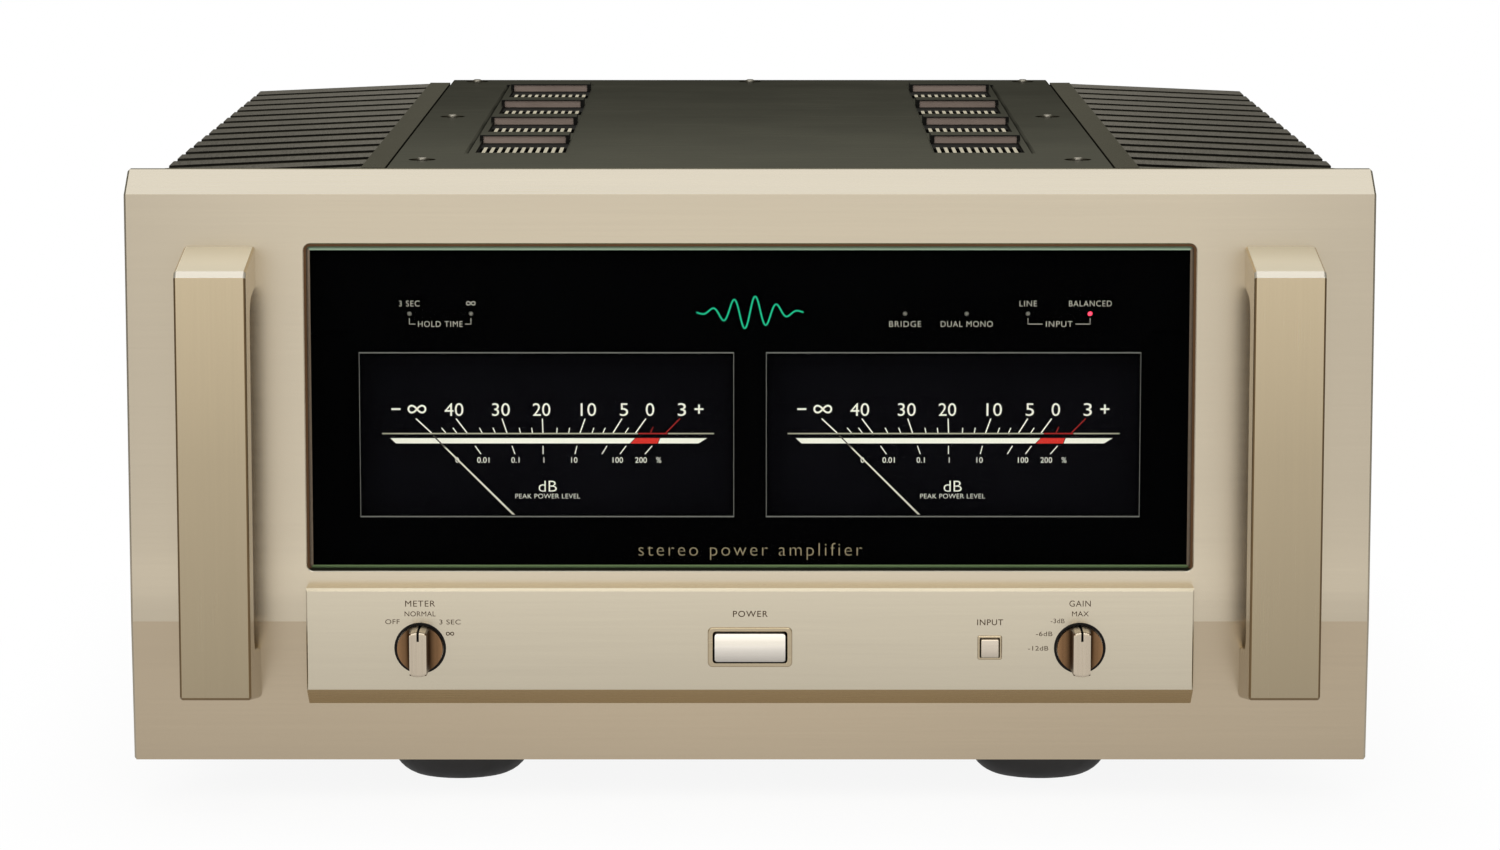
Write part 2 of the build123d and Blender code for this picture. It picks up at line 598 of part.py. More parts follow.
save(top_cover, "top_cover")

# Cover screws: wide sunk head, narrow rounded top with a hexagon socket, and shank.
COVER_SCREW_TOP_Z = BODY_H + 1.0
with BuildPart() as top_cover_screws:
    for centre in COVER_SCREWS:
        with BuildSketch(Plane.XY.offset(BODY_H - 3.0)):
            with Locations(centre):
                Circle(3.3)
        extrude(amount=2.0)
        with BuildSketch(Plane.XY.offset(BODY_H - 1.0)):
            with Locations(centre):
                Circle(2.0)
        extrude(amount=2.0)
        with BuildSketch(Plane.XY.offset(226.0)):
            with Locations(centre):
                Circle(SCREW_R)
        extrude(amount=10.0)
    round_edges = top_cover_screws.edges().filter_by(GeomType.CIRCLE)
    fillet(round_edges.filter_by(
        lambda edge: abs(edge.center().Z - COVER_SCREW_TOP_Z) < 0.01), 0.9)
    for centre in COVER_SCREWS:
        with BuildSketch(Plane.XY.offset(COVER_SCREW_TOP_Z)):
            with Locations(centre):
                RegularPolygon(1.15, 6)
        extrude(amount=-1.6, mode=Mode.SUBTRACT)
save(top_cover_screws, "top_cover_screws")

# Vent grilles: a flange under the cover, a body flush with it, and four vents, each a sunk
# field of slots and ribs in front of a raised hood with a framed front face.
GRILLE_FLANGE_T = 1.5
VENT_N, VENT_PITCH = 4, 89.0
FIELD_X, FIELD_W = 88.9, 35.0
RIB_MID_D, RIB_L, RIB_FLOOR_Z = 102.5, 33.0, 236.5
SLOT_N, SLOT_PITCH = 12, 3.0
HOOD_X, HOOD_D0, HOOD_L, HOOD_W, HOOD_Z0 = 89.75, 140.0, 15.5, 35.6, 235.0
with BuildPart() as vent_grille_right:
    with BuildSketch(Plane.XY.offset(COVER_UNDER_Z - GRILLE_FLANGE_T)):
        with Locations((VENT_MID_X, VENT_MID_Y)):
            Rectangle(VENT_W + 8, VENT_L + 12)
    extrude(amount=GRILLE_FLANGE_T)
    with BuildSketch(Plane.XY.offset(COVER_UNDER_Z)):
        with Locations((VENT_MID_X, VENT_MID_Y)):
            Rectangle(VENT_W - 0.2, VENT_L - 0.2)
    extrude(amount=COVER_T - 0.1)
    for n in range(VENT_N):
        rib_mid = RIB_MID_D + n * VENT_PITCH
        hood_front = HOOD_D0 + n * VENT_PITCH
        field_front, field_rear = rib_mid - RIB_L / 2 - 1.5, hood_front + 1
        # sunk field
        with BuildSketch(Plane.XY.offset(RIB_FLOOR_Z)):
            with Locations((FIELD_X, at(mid(field_front, field_rear)))):
                Rectangle(FIELD_W, field_rear - field_front)
        extrude(amount=5, mode=Mode.SUBTRACT)
        # slots and the ribs between them
        with BuildSketch(Plane.XY.offset(230.0)):
            with Locations(*[(FIELD_X + (k - (SLOT_N - 1) / 2) * SLOT_PITCH, at(rib_mid))
                             for k in range(SLOT_N)]):
                SlotOverall(RIB_L, 1.5, rotation=90)
        extrude(amount=10, mode=Mode.SUBTRACT)
        with BuildSketch(Plane.XY.offset(RIB_FLOOR_Z - 0.5)):
            with Locations(*[(FIELD_X + (k - (SLOT_N - 2) / 2) * SLOT_PITCH, at(rib_mid))
                             for k in range(SLOT_N - 1)]):
                Rectangle(1.4, RIB_L)
        extrude(amount=0.9)
        # hood, and the shallow recess in its front face
        with BuildSketch(Plane.XY.offset(HOOD_Z0)):
            with Locations((HOOD_X, at(hood_front + HOOD_L / 2))):
                Rectangle(HOOD_W, HOOD_L)
        extrude(amount=OVERALL_H - HOOD_Z0)
        with BuildSketch(facing(hood_front - 1)):
            with Locations((HOOD_X, mid(RIB_FLOOR_Z + 0.2, OVERALL_H - 0.4))):
                Rectangle(HOOD_W - 2.8, OVERALL_H - RIB_FLOOR_Z - 0.6)
        extrude(amount=-1.5, mode=Mode.SUBTRACT)
    chamfer(vent_grille_right.faces().filter_by(Axis.Z).group_by(Axis.Z)[-1].edges(), 0.2)
save_with_twin(vent_grille_right, "vent_grille_right", "vent_grille_left")

# Rear panel with a lip under the overhanging cover and all the connector cut-outs.
REAR_TOP_Z, REAR_LIP_D = 229.0, 459.0
POST_NECK_R, XLR_R = 6.0, 12.0
with BuildPart() as rear_panel:
    with BuildSketch(facing(REAR_FACE)):
        with Locations((0, mid(CASE_Z0, REAR_TOP_Z))):
            Rectangle(444, REAR_TOP_Z - CASE_Z0)
        with Locations((0, mid(REAR_TOP_Z, COVER_UNDER_Z))):
            Rectangle(LIP_W, COVER_UNDER_Z - REAR_TOP_Z)
        with Locations((0, INLET_Z)):
            RectangleRounded(28.4, 22.4, 2.0, mode=Mode.SUBTRACT)
        with Locations(*[(x, POST_Z) for x in POST_XS]):
            Circle(POST_NECK_R + 0.05, mode=Mode.SUBTRACT)
        with Locations(*pair(XLR_X, AUDIO_Z)):
            Circle(XLR_R + 0.1, mode=Mode.SUBTRACT)
        with Locations(*pair(JACK_X, AUDIO_Z)):
            Circle(4.8, mode=Mode.SUBTRACT)
        with Locations((0, AUDIO_Z)):
            Rectangle(14.4, 7.4, mode=Mode.SUBTRACT)
        with Locations(*[(side * SINK_SCREW_X, z) for side in (-1, 1) for z in SINK_SCREW_ZS]):
            Circle(CLEAR_R, mode=Mode.SUBTRACT)
        with Locations(*pair(INLET_SCREW_X, INLET_Z)):
            Circle(FLANGE_HOLE_R, mode=Mode.SUBTRACT)
        with Locations(*xlr_screws(-1), *xlr_screws(1)):
            Circle(FLANGE_HOLE_R, mode=Mode.SUBTRACT)
    extrude(amount=REAR_T)
    with BuildSketch(Plane.XY.offset(COVER_UNDER_Z - REAR_T)):
        with Locations((0, at(mid(REAR_FACE, REAR_LIP_D)))):
            Rectangle(LIP_W, REAR_LIP_D - REAR_FACE)
        with Locations(*REAR_COVER_SCREWS):
            Circle(TAPPED_R, mode=Mode.SUBTRACT)
    extrude(amount=REAR_T)
save(rear_panel, "rear_panel")

# Feet: turned bowls, wide at the case and narrower on the floor, with a recessed middle;
# tapped from above.
FOOT_R, FOOT_BASE_R, FOOT_H = 27.0, 19.5, CASE_Z0
FOOT_BORE_R, FOOT_BORE_Z0 = 2.05, 5.0
with BuildPart() as feet:
    with BuildSketch(Plane.XZ):
        with BuildLine():
            Polyline((FOOT_BORE_R, FOOT_H), (FOOT_R - 0.8, FOOT_H), (FOOT_R, FOOT_H - 0.8),
                     (FOOT_R, 11.5))
            ThreePointArc((FOOT_R, 11.5), (FOOT_R - 2.0, 4.6), (FOOT_BASE_R, 0.0))
            Polyline((FOOT_BASE_R, 0.0), (8.0, 0.0), (7.0, 1.5), (0, 1.5), (0, FOOT_BORE_Z0),
                     (FOOT_BORE_R, FOOT_BORE_Z0), (FOOT_BORE_R, FOOT_H))
        make_face()
    foot = revolve(axis=Axis.Z, mode=Mode.PRIVATE)
    for x, y in FOOT_CENTRES:
        add(Location((x, y, 0)) * foot)
save(feet, "feet")


# ================= inside =================
TRAFO_D, TRAFO_R, TRAFO_H, TRAFO_WALL = 150.0, 86.0, 92.0, 2.0
CAP_XS, CAP_DS, CAP_R, CAP_H = (-42.0, 42.0), (292.0, 372.0), 36.0, 110.0
CAP_CENTRES = [(x, at(depth)) for x in CAP_XS for depth in CAP_DS]
CAP_MID_Y = at(mid(*CAP_DS))
RECTIFIER_TOP_Z = FLOOR_Z + CAP_H + BOARD_T
AMP_BOARD_X = 118.0                     # inner face of the right amplifier board
INPUT_BOARD_REAR = 419.6
STUD_REAR, STUD_L = 476.0, 50.0         # speaker post studs

# Round case over the transformer, open underneath.
with BuildPart() as transformer_case:
    with BuildSketch(Plane.XY.offset(FLOOR_Z)):
        with Locations((0, at(TRAFO_D))):
            Circle(TRAFO_R)
    extrude(amount=TRAFO_H)
    fillet(transformer_case.faces().sort_by(Axis.Z)[-1].edges(), 6.0)
    with BuildSketch(Plane.XY.offset(FLOOR_Z)):
        with Locations((0, at(TRAFO_D))):
            Circle(TRAFO_R - TRAFO_WALL)
    extrude(amount=TRAFO_H - TRAFO_WALL, mode=Mode.SUBTRACT)
save(transformer_case, "transformer_case")

# Wound ring and the round block in its middle.
with BuildPart() as toroidal_transformer:
    with BuildSketch(Plane.XZ):
        with Locations((49.0, 58.0)):
            RectangleRounded(58.0, 70.0, 16.0)
    core = revolve(axis=Axis.Z, mode=Mode.PRIVATE)
    add(Location((0, at(TRAFO_D), 0)) * core)
    with BuildSketch(Plane.XY.offset(FLOOR_Z)):
        with Locations((0, at(TRAFO_D))):
            Circle(24.0)
    extrude(amount=30.0)
save(toroidal_transformer, "toroidal_transformer")

with BuildPart() as filter_capacitors:
    for centre in CAP_CENTRES:
        with BuildSketch(Plane.XY.offset(FLOOR_Z)):
            with Locations(centre):
                Circle(CAP_R)
        extrude(amount=CAP_H)
    chamfer(filter_capacitors.faces().filter_by(Axis.Z).group_by(Axis.Z)[-1].edges(), 2.0)
save(filter_capacitors, "filter_capacitors")

# Plate round the capacitors, on two side walls.
CLAMP_W, CLAMP_L, CLAMP_T, CLAMP_Z = 184.0, 164.0, 2.0, 56.0
with BuildPart() as capacitor_clamp:
    with BuildSketch(Plane.XY.offset(CLAMP_Z)):
        with Locations((0, CAP_MID_Y)):
            Rectangle(CLAMP_W, CLAMP_L)
        with Locations(*CAP_CENTRES):
            Circle(CAP_R + 0.2, mode=Mode.SUBTRACT)
    extrude(amount=CLAMP_T)
    for centre in pair((CLAMP_W - CLAMP_T) / 2, CAP_MID_Y):
        with BuildSketch(Plane.XY.offset(FLOOR_Z)):
            with Locations(centre):
                Rectangle(CLAMP_T, CLAMP_L)
        extrude(amount=CLAMP_Z + 1 - FLOOR_Z)
save(capacitor_clamp, "capacitor_clamp")

# Board on top of the capacitors, with two square and five round components.
with BuildPart() as rectifier_board:
    with BuildSketch(Plane.XY.offset(FLOOR_Z + CAP_H)):
        with Locations((0, CAP_MID_Y)):
            Rectangle(150, 156)
    extrude(amount=BOARD_T)
    with BuildSketch(Plane.XY.offset(RECTIFIER_TOP_Z)):
        with Locations(*pair(30, at(290))):
            Rectangle(28, 28)
        with Locations(*[(x, at(380)) for x in range(-50, 51, 25)]):
            Circle(7.5)
    extrude(amount=12.0)
save(rectifier_board, "rectifier_board")

# Driver boards stand on spacers off the heatsink webs, components on the inner side.
with BuildPart() as amp_board_right:
    with BuildSketch(Plane.YZ.offset(AMP_BOARD_X)):
        with Locations((at(255), 140.0)):
            Rectangle(330, 130)
    extrude(amount=BOARD_T)
    with BuildSketch(Plane.YZ.offset(AMP_BOARD_X + BOARD_T)):
        with Locations(*[(at(depth), z) for depth in (98, 412) for z in (82, 198)]):
            Circle(3.5)
    extrude(amount=SINK_X0 - AMP_BOARD_X - BOARD_T)
    with BuildSketch(Plane.YZ.offset(AMP_BOARD_X)):
        with Locations(*[(at(depth), 175) for depth in range(120, 400, 40)]):
            Circle(6.0)
        with Locations(*[(at(depth), 110) for depth in range(140, 380, 60)]):
            Rectangle(22, 16)
    extrude(amount=-11.0)
save_with_twin(amp_board_right, "amp_board_right", "amp_board_left")

with BuildPart() as output_transistors:
    for side in (-1, 1):
        with BuildSketch(Plane.YZ.offset(side * SINK_X0)):
            with Locations(*[(at(120 + 30 * k), 140) for k in range(10)]):
                Rectangle(20, 26)
        extrude(amount=-side * 5.0)
save(output_transistors, "output_transistors")

with BuildPart() as input_board:
    with BuildSketch(facing(INPUT_BOARD_REAR)):
        with Locations((0, 180)):
            Rectangle(228, 60)
    extrude(amount=BOARD_T)
    with BuildSketch(facing(INPUT_BOARD_REAR - BOARD_T)):
        with Locations(*[(x, 165) for x in range(-80, 81, 40)]):
            Rectangle(16, 10)
    extrude(amount=6.0)
save(input_board, "input_board")

# Main leads: transformer to rectifier, rectifier to amplifier boards, boards to speaker posts.
# Each route is three spline points and the two end tangents. Ends stop just short of a surface.
LEAD_R, LEAD_GAP = 1.6, 0.3
TRAFO_END_Z = FLOOR_Z + TRAFO_H + LEAD_GAP
RECTIFIER_END_Z = RECTIFIER_TOP_Z + LEAD_GAP
AMP_END_X = AMP_BOARD_X - 0.4
STUD_END_Y = at(STUD_REAR - STUD_L - LEAD_GAP)
lead_routes = []
for side in (-1, 1):
    for x in (14, 22):
        lead_routes.append((
            ((side * x, at(205), TRAFO_END_Z), (side * x, at(232), 146),
             (side * x, at(262), RECTIFIER_END_Z)),
            ((0, 0, 1), (0, 0, -1))))
    for depth in (320, 340):
        lead_routes.append((
            ((side * 62, at(depth), RECTIFIER_END_Z), (side * 88, at(depth), 150),
             (side * AMP_END_X, at(depth), 146)),
            ((0, 0, 1), (side, 0, 0))))
    for post_x, start_z in ((60.0, 92.0), (105.0, 84.0)):
        lead_routes.append((
            ((side * AMP_END_X, at(408), start_z), (side * (post_x + 4), at(414), start_z + 4),
             (side * post_x, STUD_END_Y, POST_Z)),
            ((-side, 0, 0), (0, 1, 0))))

with BuildPart() as wiring_harness:
    for points, end_tangents in lead_routes:
        with BuildLine() as lead:
            Spline(*points, tangents=end_tangents)
        with BuildSketch(Plane(origin=lead.wire() @ 0, z_dir=lead.wire() % 0)):
            Circle(LEAD_R)
        sweep(path=lead.wire())
save(wiring_harness, "wiring_harness")


# ================= rear connectors =================
STUD_R = 4.5
XLR_FLANGE_T, INLET_FLANGE_T, JACK_FLANGE_T, MODE_FLANGE_T = 2.5, 3.0, 2.0, 1.2

# Speaker posts: insulated collar, stud with a banana socket, running through to the inside.
with BuildPart() as terminal_posts:
    for post_x in POST_XS:
        with BuildSketch(facing(REAR_FACE + 6.0)):
            with Locations((post_x, POST_Z)):
                Circle(11.0)
        extrude(amount=6.0)
        with BuildSketch(facing(REAR_FACE + 1.0)):
            with Locations((post_x, POST_Z)):
                Circle(POST_NECK_R)
        extrude(amount=9.0)
        with BuildSketch(facing(STUD_REAR)):
            with Locations((post_x, POST_Z)):
                Circle(STUD_R)
        extrude(amount=STUD_L)
        with BuildSketch(facing(STUD_REAR + 4)):
            with Locations((post_x, POST_Z)):
                Circle(2.0)
        extrude(amount=24.0, mode=Mode.SUBTRACT)
save(terminal_posts, "terminal_posts")

# Screw caps: fluted grips that turn on the posts' studs.
CAP_FRONT = 453.0
for number, post_x in enumerate(POST_XS, start=1):
    with BuildPart() as terminal_cap:
        with BuildSketch(facing(REAR_END)):
            with Locations((post_x, POST_Z)):
                Circle(10.0)
            with Locations(Location((post_x, POST_Z, 0))):
                with PolarLocations(10.6, 12):
                    Circle(1.5, mode=Mode.SUBTRACT)
        extrude(amount=REAR_END - CAP_FRONT)
        end_edges = terminal_cap.faces().filter_by(Axis.Y).edges()
        chamfer(end_edges.filter_by(lambda edge: edge.length > 2.2), 0.6)
        with BuildSketch(facing(REAR_END + 1)):
            with Locations((post_x, POST_Z)):
                Circle(STUD_R + RUNNING_GAP)
        extrude(amount=40, mode=Mode.SUBTRACT)
    save(terminal_cap, f"terminal_cap_{number}")

# Three-blade mains inlet with a recessed cavity.
INLET_REAR = REAR_FACE + INLET_FLANGE_T
with BuildPart() as mains_inlet:
    with BuildSketch(facing(INLET_REAR)):
        with Locations((0, INLET_Z)):
            RectangleRounded(50, 28, 4)
        with Locations(*pair(INLET_SCREW_X, INLET_Z)):
            Circle(FLANGE_HOLE_R, mode=Mode.SUBTRACT)
    extrude(amount=INLET_FLANGE_T)
    with BuildSketch(facing(INLET_REAR)):
        with Locations((0, INLET_Z)):
            RectangleRounded(28, 22, 1.8)
    extrude(amount=23.0)
    with BuildSketch(facing(INLET_REAR)):
        with Locations((0, INLET_Z)):
            RectangleRounded(24.4, 16.8, 1.5)
    extrude(amount=17.0, mode=Mode.SUBTRACT)
    with BuildSketch(facing(INLET_REAR - 5)):
        with Locations(*pair(7, INLET_Z - 2), (0, INLET_Z + 2)):
            Rectangle(2, 4)
    extrude(amount=13.0)
save(mains_inlet, "mains_inlet")

# Phono jacks: barrel with a centre contact bore, body reaching in to the input board.
JACK_REAR = 457.0
with BuildPart() as phono_jacks:
    for centre in pair(JACK_X, AUDIO_Z):
        with BuildSketch(facing(REAR_FACE + JACK_FLANGE_T)):
            with Locations(centre):
                Circle(7.0)
        extrude(amount=JACK_FLANGE_T)
        with BuildSketch(facing(JACK_REAR)):
            with Locations(centre):
                Circle(4.15)
        extrude(amount=JACK_REAR - INPUT_BOARD_REAR)
        with BuildSketch(facing(JACK_REAR + 3)):
            with Locations(centre):
                Circle(1.6)
        extrude(amount=16.0, mode=Mode.SUBTRACT)
save(phono_jacks, "phono_jacks")

# Balanced three-contact sockets with a slot for the latch.
XLR_CUT_D = 450.0                       # cuts start clear behind the flange
CONTACT_PITCH_R, CONTACT_ANGLES = 3.9, (210, 330, 90)
with BuildPart() as balanced_sockets:
    for side in (-1, 1):
        xlr_x = side * XLR_X
        with BuildSketch(facing(REAR_FACE + XLR_FLANGE_T)):
            with Locations((xlr_x, AUDIO_Z)):
                RectangleRounded(26, 34, 2.5)
        extrude(amount=XLR_FLANGE_T)
        with BuildSketch(facing(REAR_FACE + 1)):
            with Locations((xlr_x, AUDIO_Z)):
                Circle(XLR_R)
        extrude(amount=REAR_FACE + 1 - INPUT_BOARD_REAR)
        # ring groove and the three contact bores
        with BuildSketch(facing(XLR_CUT_D)):
            with Locations((xlr_x, AUDIO_Z)):
                Circle(9.6)
                Circle(7.4, mode=Mode.SUBTRACT)
            with Locations(*[(xlr_x + CONTACT_PITCH_R * math.cos(math.radians(angle)),
                              AUDIO_Z + CONTACT_PITCH_R * math.sin(math.radians(angle)))
                             for angle in CONTACT_ANGLES]):
                Circle(1.3)
        extrude(amount=15.0, mode=Mode.SUBTRACT)
        # latch slot and screw holes
        with BuildSketch(facing(XLR_CUT_D)):
            with Locations((xlr_x, AUDIO_Z + 13.4)):
                Rectangle(8.2, 4.8)
            with Locations(*xlr_screws(side)):
                Circle(FLANGE_HOLE_R)
        extrude(amount=4.0, mode=Mode.SUBTRACT)
save(balanced_sockets, "balanced_sockets")

for side, side_name in SIDES:
    with BuildPart() as latch:
        with BuildSketch(facing(451.5)):
            with Locations((side * XLR_X, AUDIO_Z + 14.1)):
                Rectangle(8.0, 3.2)
        extrude(amount=5.3)
        chamfer(latch.faces().sort_by(Axis.Y)[-1].edges(), 0.5)
    save(latch, f"latch_{side_name}")

# Two-position slide switch and its actuator.
with BuildPart() as mode_switch:
    with BuildSketch(facing(REAR_FACE + MODE_FLANGE_T)):
        with Locations((0, AUDIO_Z)):
            RectangleRounded(24, 12, 1.0)
    extrude(amount=MODE_FLANGE_T)
    with BuildSketch(facing(REAR_FACE)):
        with Locations((0, AUDIO_Z)):
            Rectangle(14, 7)
    extrude(amount=10.0)
    with BuildSketch(facing(REAR_FACE + 2)):
        with Locations((0, AUDIO_Z)):
            Rectangle(9.4, 4.2)
    extrude(amount=9.0, mode=Mode.SUBTRACT)
save(mode_switch, "mode_switch")

with BuildPart() as mode_slider:
    with BuildSketch(facing(449.6)):
        with Locations((-2.2, AUDIO_Z)):
            Rectangle(4.6, 4.0)
    extrude(amount=9.6)
    chamfer(mode_slider.faces().sort_by(Axis.Y)[-1].edges(), 0.4)
save(mode_slider, "mode_slider")

# Chassis screws: handles from behind the front panel, rear panel to heatsinks,
# mains inlet and socket flanges, feet from inside.
HANDLE_HEAD_REAR = 17.4
SINK_HEAD_T = 2.2
with BuildPart() as chassis_screws:
    for side in (-1, 1):
        for screw_z in HANDLE_SCREW_ZS:
            with BuildSketch(facing(HANDLE_HEAD_REAR)):
                with Locations((side * HANDLE_X, screw_z)):
                    Circle(5.0)
            extrude(amount=6.4)
            with BuildSketch(facing(HANDLE_HEAD_REAR)):
                with Locations((side * HANDLE_X, screw_z)):
                    Circle(3.0)
            extrude(amount=28.0)
            with BuildSketch(facing(HANDLE_HEAD_REAR)):
                with Locations((side * HANDLE_X, screw_z)):
                    RegularPolygon(2.5, 6)
            extrude(amount=3.0, mode=Mode.SUBTRACT)
    for side in (-1, 1):
        for screw_z in SINK_SCREW_ZS:
            with BuildSketch(facing(REAR_FACE + SINK_HEAD_T)):
                with Locations((side * SINK_SCREW_X, screw_z)):
                    Circle(3.6)
            extrude(amount=SINK_HEAD_T)
            with BuildSketch(facing(REAR_FACE + 1)):
                with Locations((side * SINK_SCREW_X, screw_z)):
                    Circle(SCREW_R)
            extrude(amount=12.0)
            with BuildSketch(facing(REAR_FACE + SINK_HEAD_T)):
                with Locations((side * SINK_SCREW_X, screw_z)):
                    RegularPolygon(1.6, 6)
            extrude(amount=1.2, mode=Mode.SUBTRACT)
        # centre, then rear depth and length of the head and of the shank
        flange_screws = [((side * INLET_SCREW_X, INLET_Z), 450.6, 1.6, 450.0, 10.0)]
        flange_screws += [(centre, 450.0, 1.5, 449.0, 9.0) for centre in xlr_screws(side)]
        for centre, head_rear, head_l, shank_rear, shank_l in flange_screws:
            with BuildSketch(facing(head_rear)):
                with Locations(centre):
                    Circle(FLANGE_HEAD_R)
            extrude(amount=head_l)
            with BuildSketch(facing(shank_rear)):
                with Locations(centre):
                    Circle(FLANGE_SCREW_R)
            extrude(amount=shank_l)
        for depth in FOOT_DS:
            with BuildSketch(Plane.XY.offset(FLOOR_Z)):
                with Locations((side * FOOT_X, at(depth))):
                    Circle(4.0)
            extrude(amount=3.0)
            with BuildSketch(Plane.XY.offset(8.0)):
                with Locations((side * FOOT_X, at(depth))):
                    Circle(2.0)
            extrude(amount=13.0)
save(chassis_screws, "chassis_screws")
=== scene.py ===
"""Stereo power amplifier with two meters behind a wide window, cooling fins at its sides and
vents in its top.

It stands on z = 0. The front faces -Y, left is -X as seen from the front, and depths are counted
in +Y from the face of the front panel. Sizes are in mm unless a comment says otherwise, and MM
turns them into metres.
"""
import math
import random

import bmesh
import bpy
from mathutils import Matrix, Vector


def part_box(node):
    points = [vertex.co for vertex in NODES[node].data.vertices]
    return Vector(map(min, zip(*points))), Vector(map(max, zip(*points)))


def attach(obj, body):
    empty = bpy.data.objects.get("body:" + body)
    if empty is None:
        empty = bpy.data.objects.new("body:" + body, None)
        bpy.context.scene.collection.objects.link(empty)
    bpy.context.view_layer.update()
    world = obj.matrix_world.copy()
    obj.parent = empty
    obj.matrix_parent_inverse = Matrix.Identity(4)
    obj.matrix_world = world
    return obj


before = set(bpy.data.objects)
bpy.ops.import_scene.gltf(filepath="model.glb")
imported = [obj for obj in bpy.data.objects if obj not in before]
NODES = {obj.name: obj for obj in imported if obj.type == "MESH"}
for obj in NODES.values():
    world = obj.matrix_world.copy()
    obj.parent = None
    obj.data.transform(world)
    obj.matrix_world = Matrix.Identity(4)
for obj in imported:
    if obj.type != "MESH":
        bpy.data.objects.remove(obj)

bpy.context.view_layer.update()
random.seed(11)
MM = 0.001
scene = bpy.context.scene
MATERIALS = {}


# ---------------------------------------------------------------- shader helpers
class Tree:
    """Short calls for building a node tree."""

    def __init__(self, node_tree):
        self.nodes, self.links = node_tree.nodes, node_tree.links
        self._object_place = None

    def new(self, kind, **props):
        node = self.nodes.new(kind)
        for key, value in props.items():
            setattr(node, key, value)
        return node

    def link(self, source, target):
        self.links.new(source, target)

    def put(self, socket, value):
        """Links a socket, or sets a plain value."""
        if isinstance(value, bpy.types.NodeSocket):
            self.link(value, socket)
        else:
            socket.default_value = value

    def object_place(self):
        if self._object_place is None:
            self._object_place = self.new("ShaderNodeTexCoord").outputs["Object"]
        return self._object_place

    def separate(self, vector):
        """The X, Y and Z outputs of a vector."""
        node = self.new("ShaderNodeSeparateXYZ")
        self.link(vector, node.inputs[0])
        return node.outputs

    def noise(self, scale, detail=3.0, rough=0.6, offset=(0, 0, 0)):
        """Noise in object space; scale is one number or one per axis."""
        mapping = self.new("ShaderNodeMapping")
        mapping.inputs["Scale"].default_value = scale if hasattr(scale, "__len__") else (scale,) * 3
        mapping.inputs["Location"].default_value = offset
        self.link(self.object_place(), mapping.inputs["Vector"])
        node = self.new("ShaderNodeTexNoise")
        self.link(mapping.outputs["Vector"], node.inputs["Vector"])
        node.inputs["Scale"].default_value = 1.0
        node.inputs["Detail"].default_value = detail
        node.inputs["Roughness"].default_value = rough
        return node.outputs["Fac"]

    def span(self, value, to_low, to_high, from_low=0.0, from_high=1.0):
        node = self.new("ShaderNodeMapRange")
        self.put(node.inputs["Value"], value)
        node.inputs["From Min"].default_value = from_low
        node.inputs["From Max"].default_value = from_high
        node.inputs["To Min"].default_value = to_low
        node.inputs["To Max"].default_value = to_high
        return node.outputs["Result"]

    def spread(self, noise, low=0, high=1):
        """Stretches the middle of a noise, 0.3 to 0.7, over low to high."""
        return self.span(noise, low, high, from_low=0.3, from_high=0.7)

    def ease(self, value, low, high):
        """Smooth 0 to 1 between low and high."""
        node = self.new("ShaderNodeMapRange", interpolation_type="SMOOTHSTEP")
        self.put(node.inputs["Value"], value)
        node.inputs["From Min"].default_value = low
        node.inputs["From Max"].default_value = high
        return node.outputs["Result"]

    def curve(self, axis, stops):
        """Straight pieces through (place in mm, value) stops along an object axis.
        X is measured outward from the middle."""
        where = self.separate(self.object_place())["XYZ".index(axis)]
        if axis == "X":
            where = self.math("ABSOLUTE", where)
        first, last = stops[0][0], stops[-1][0]
        top = max(value for _, value in stops)
        ramp = self.new("ShaderNodeValToRGB")
        elements = ramp.color_ramp.elements
        while len(elements) < len(stops):
            elements.new(0.5)
        for element, (place, value) in zip(elements, stops):
            element.position = (place - first) / (last - first)
            element.color = (value / top, value / top, value / top, 1)
        self.link(self.span(where, 0.0, 1.0, first * MM, last * MM), ramp.inputs[0])
        return self.math("MULTIPLY", ramp.outputs[0], top)

    def math(self, operation, first, second=0.0, clamp=False):
        node = self.new("ShaderNodeMath", operation=operation, use_clamp=clamp)
        self.put(node.inputs[0], first)
        self.put(node.inputs[1], second)
        return node.outputs["Value"]

    def mix(self, factor, first, second, mode="MIX"):
        node = self.new("ShaderNodeMix", data_type="RGBA", blend_type=mode)
        self.put(node.inputs[0], factor)
        self.put(node.inputs[6], first)
        self.put(node.inputs[7], second)
        return node.outputs[2]

    def mix_shaders(self, factor, first, second):
        node = self.new("ShaderNodeMixShader")
        for socket, source in zip(node.inputs, (factor, first, second)):
            self.link(source, socket)
        return node.outputs[0]

    def edge(self, radius, gain=4.0):
        """1 on edges, 0 on flats; radius in metres."""
        bevel = self.new("ShaderNodeBevel", samples=4)
        bevel.inputs["Radius"].default_value = radius
        geometry = self.new("ShaderNodeNewGeometry")
        dot = self.new("ShaderNodeVectorMath", operation="DOT_PRODUCT")
        self.link(bevel.outputs["Normal"], dot.inputs[0])
        self.link(geometry.outputs["Normal"], dot.inputs[1])
        turned = self.math("SUBTRACT", 1.0, dot.outputs["Value"])
        return self.math("MULTIPLY", turned, gain, clamp=True)


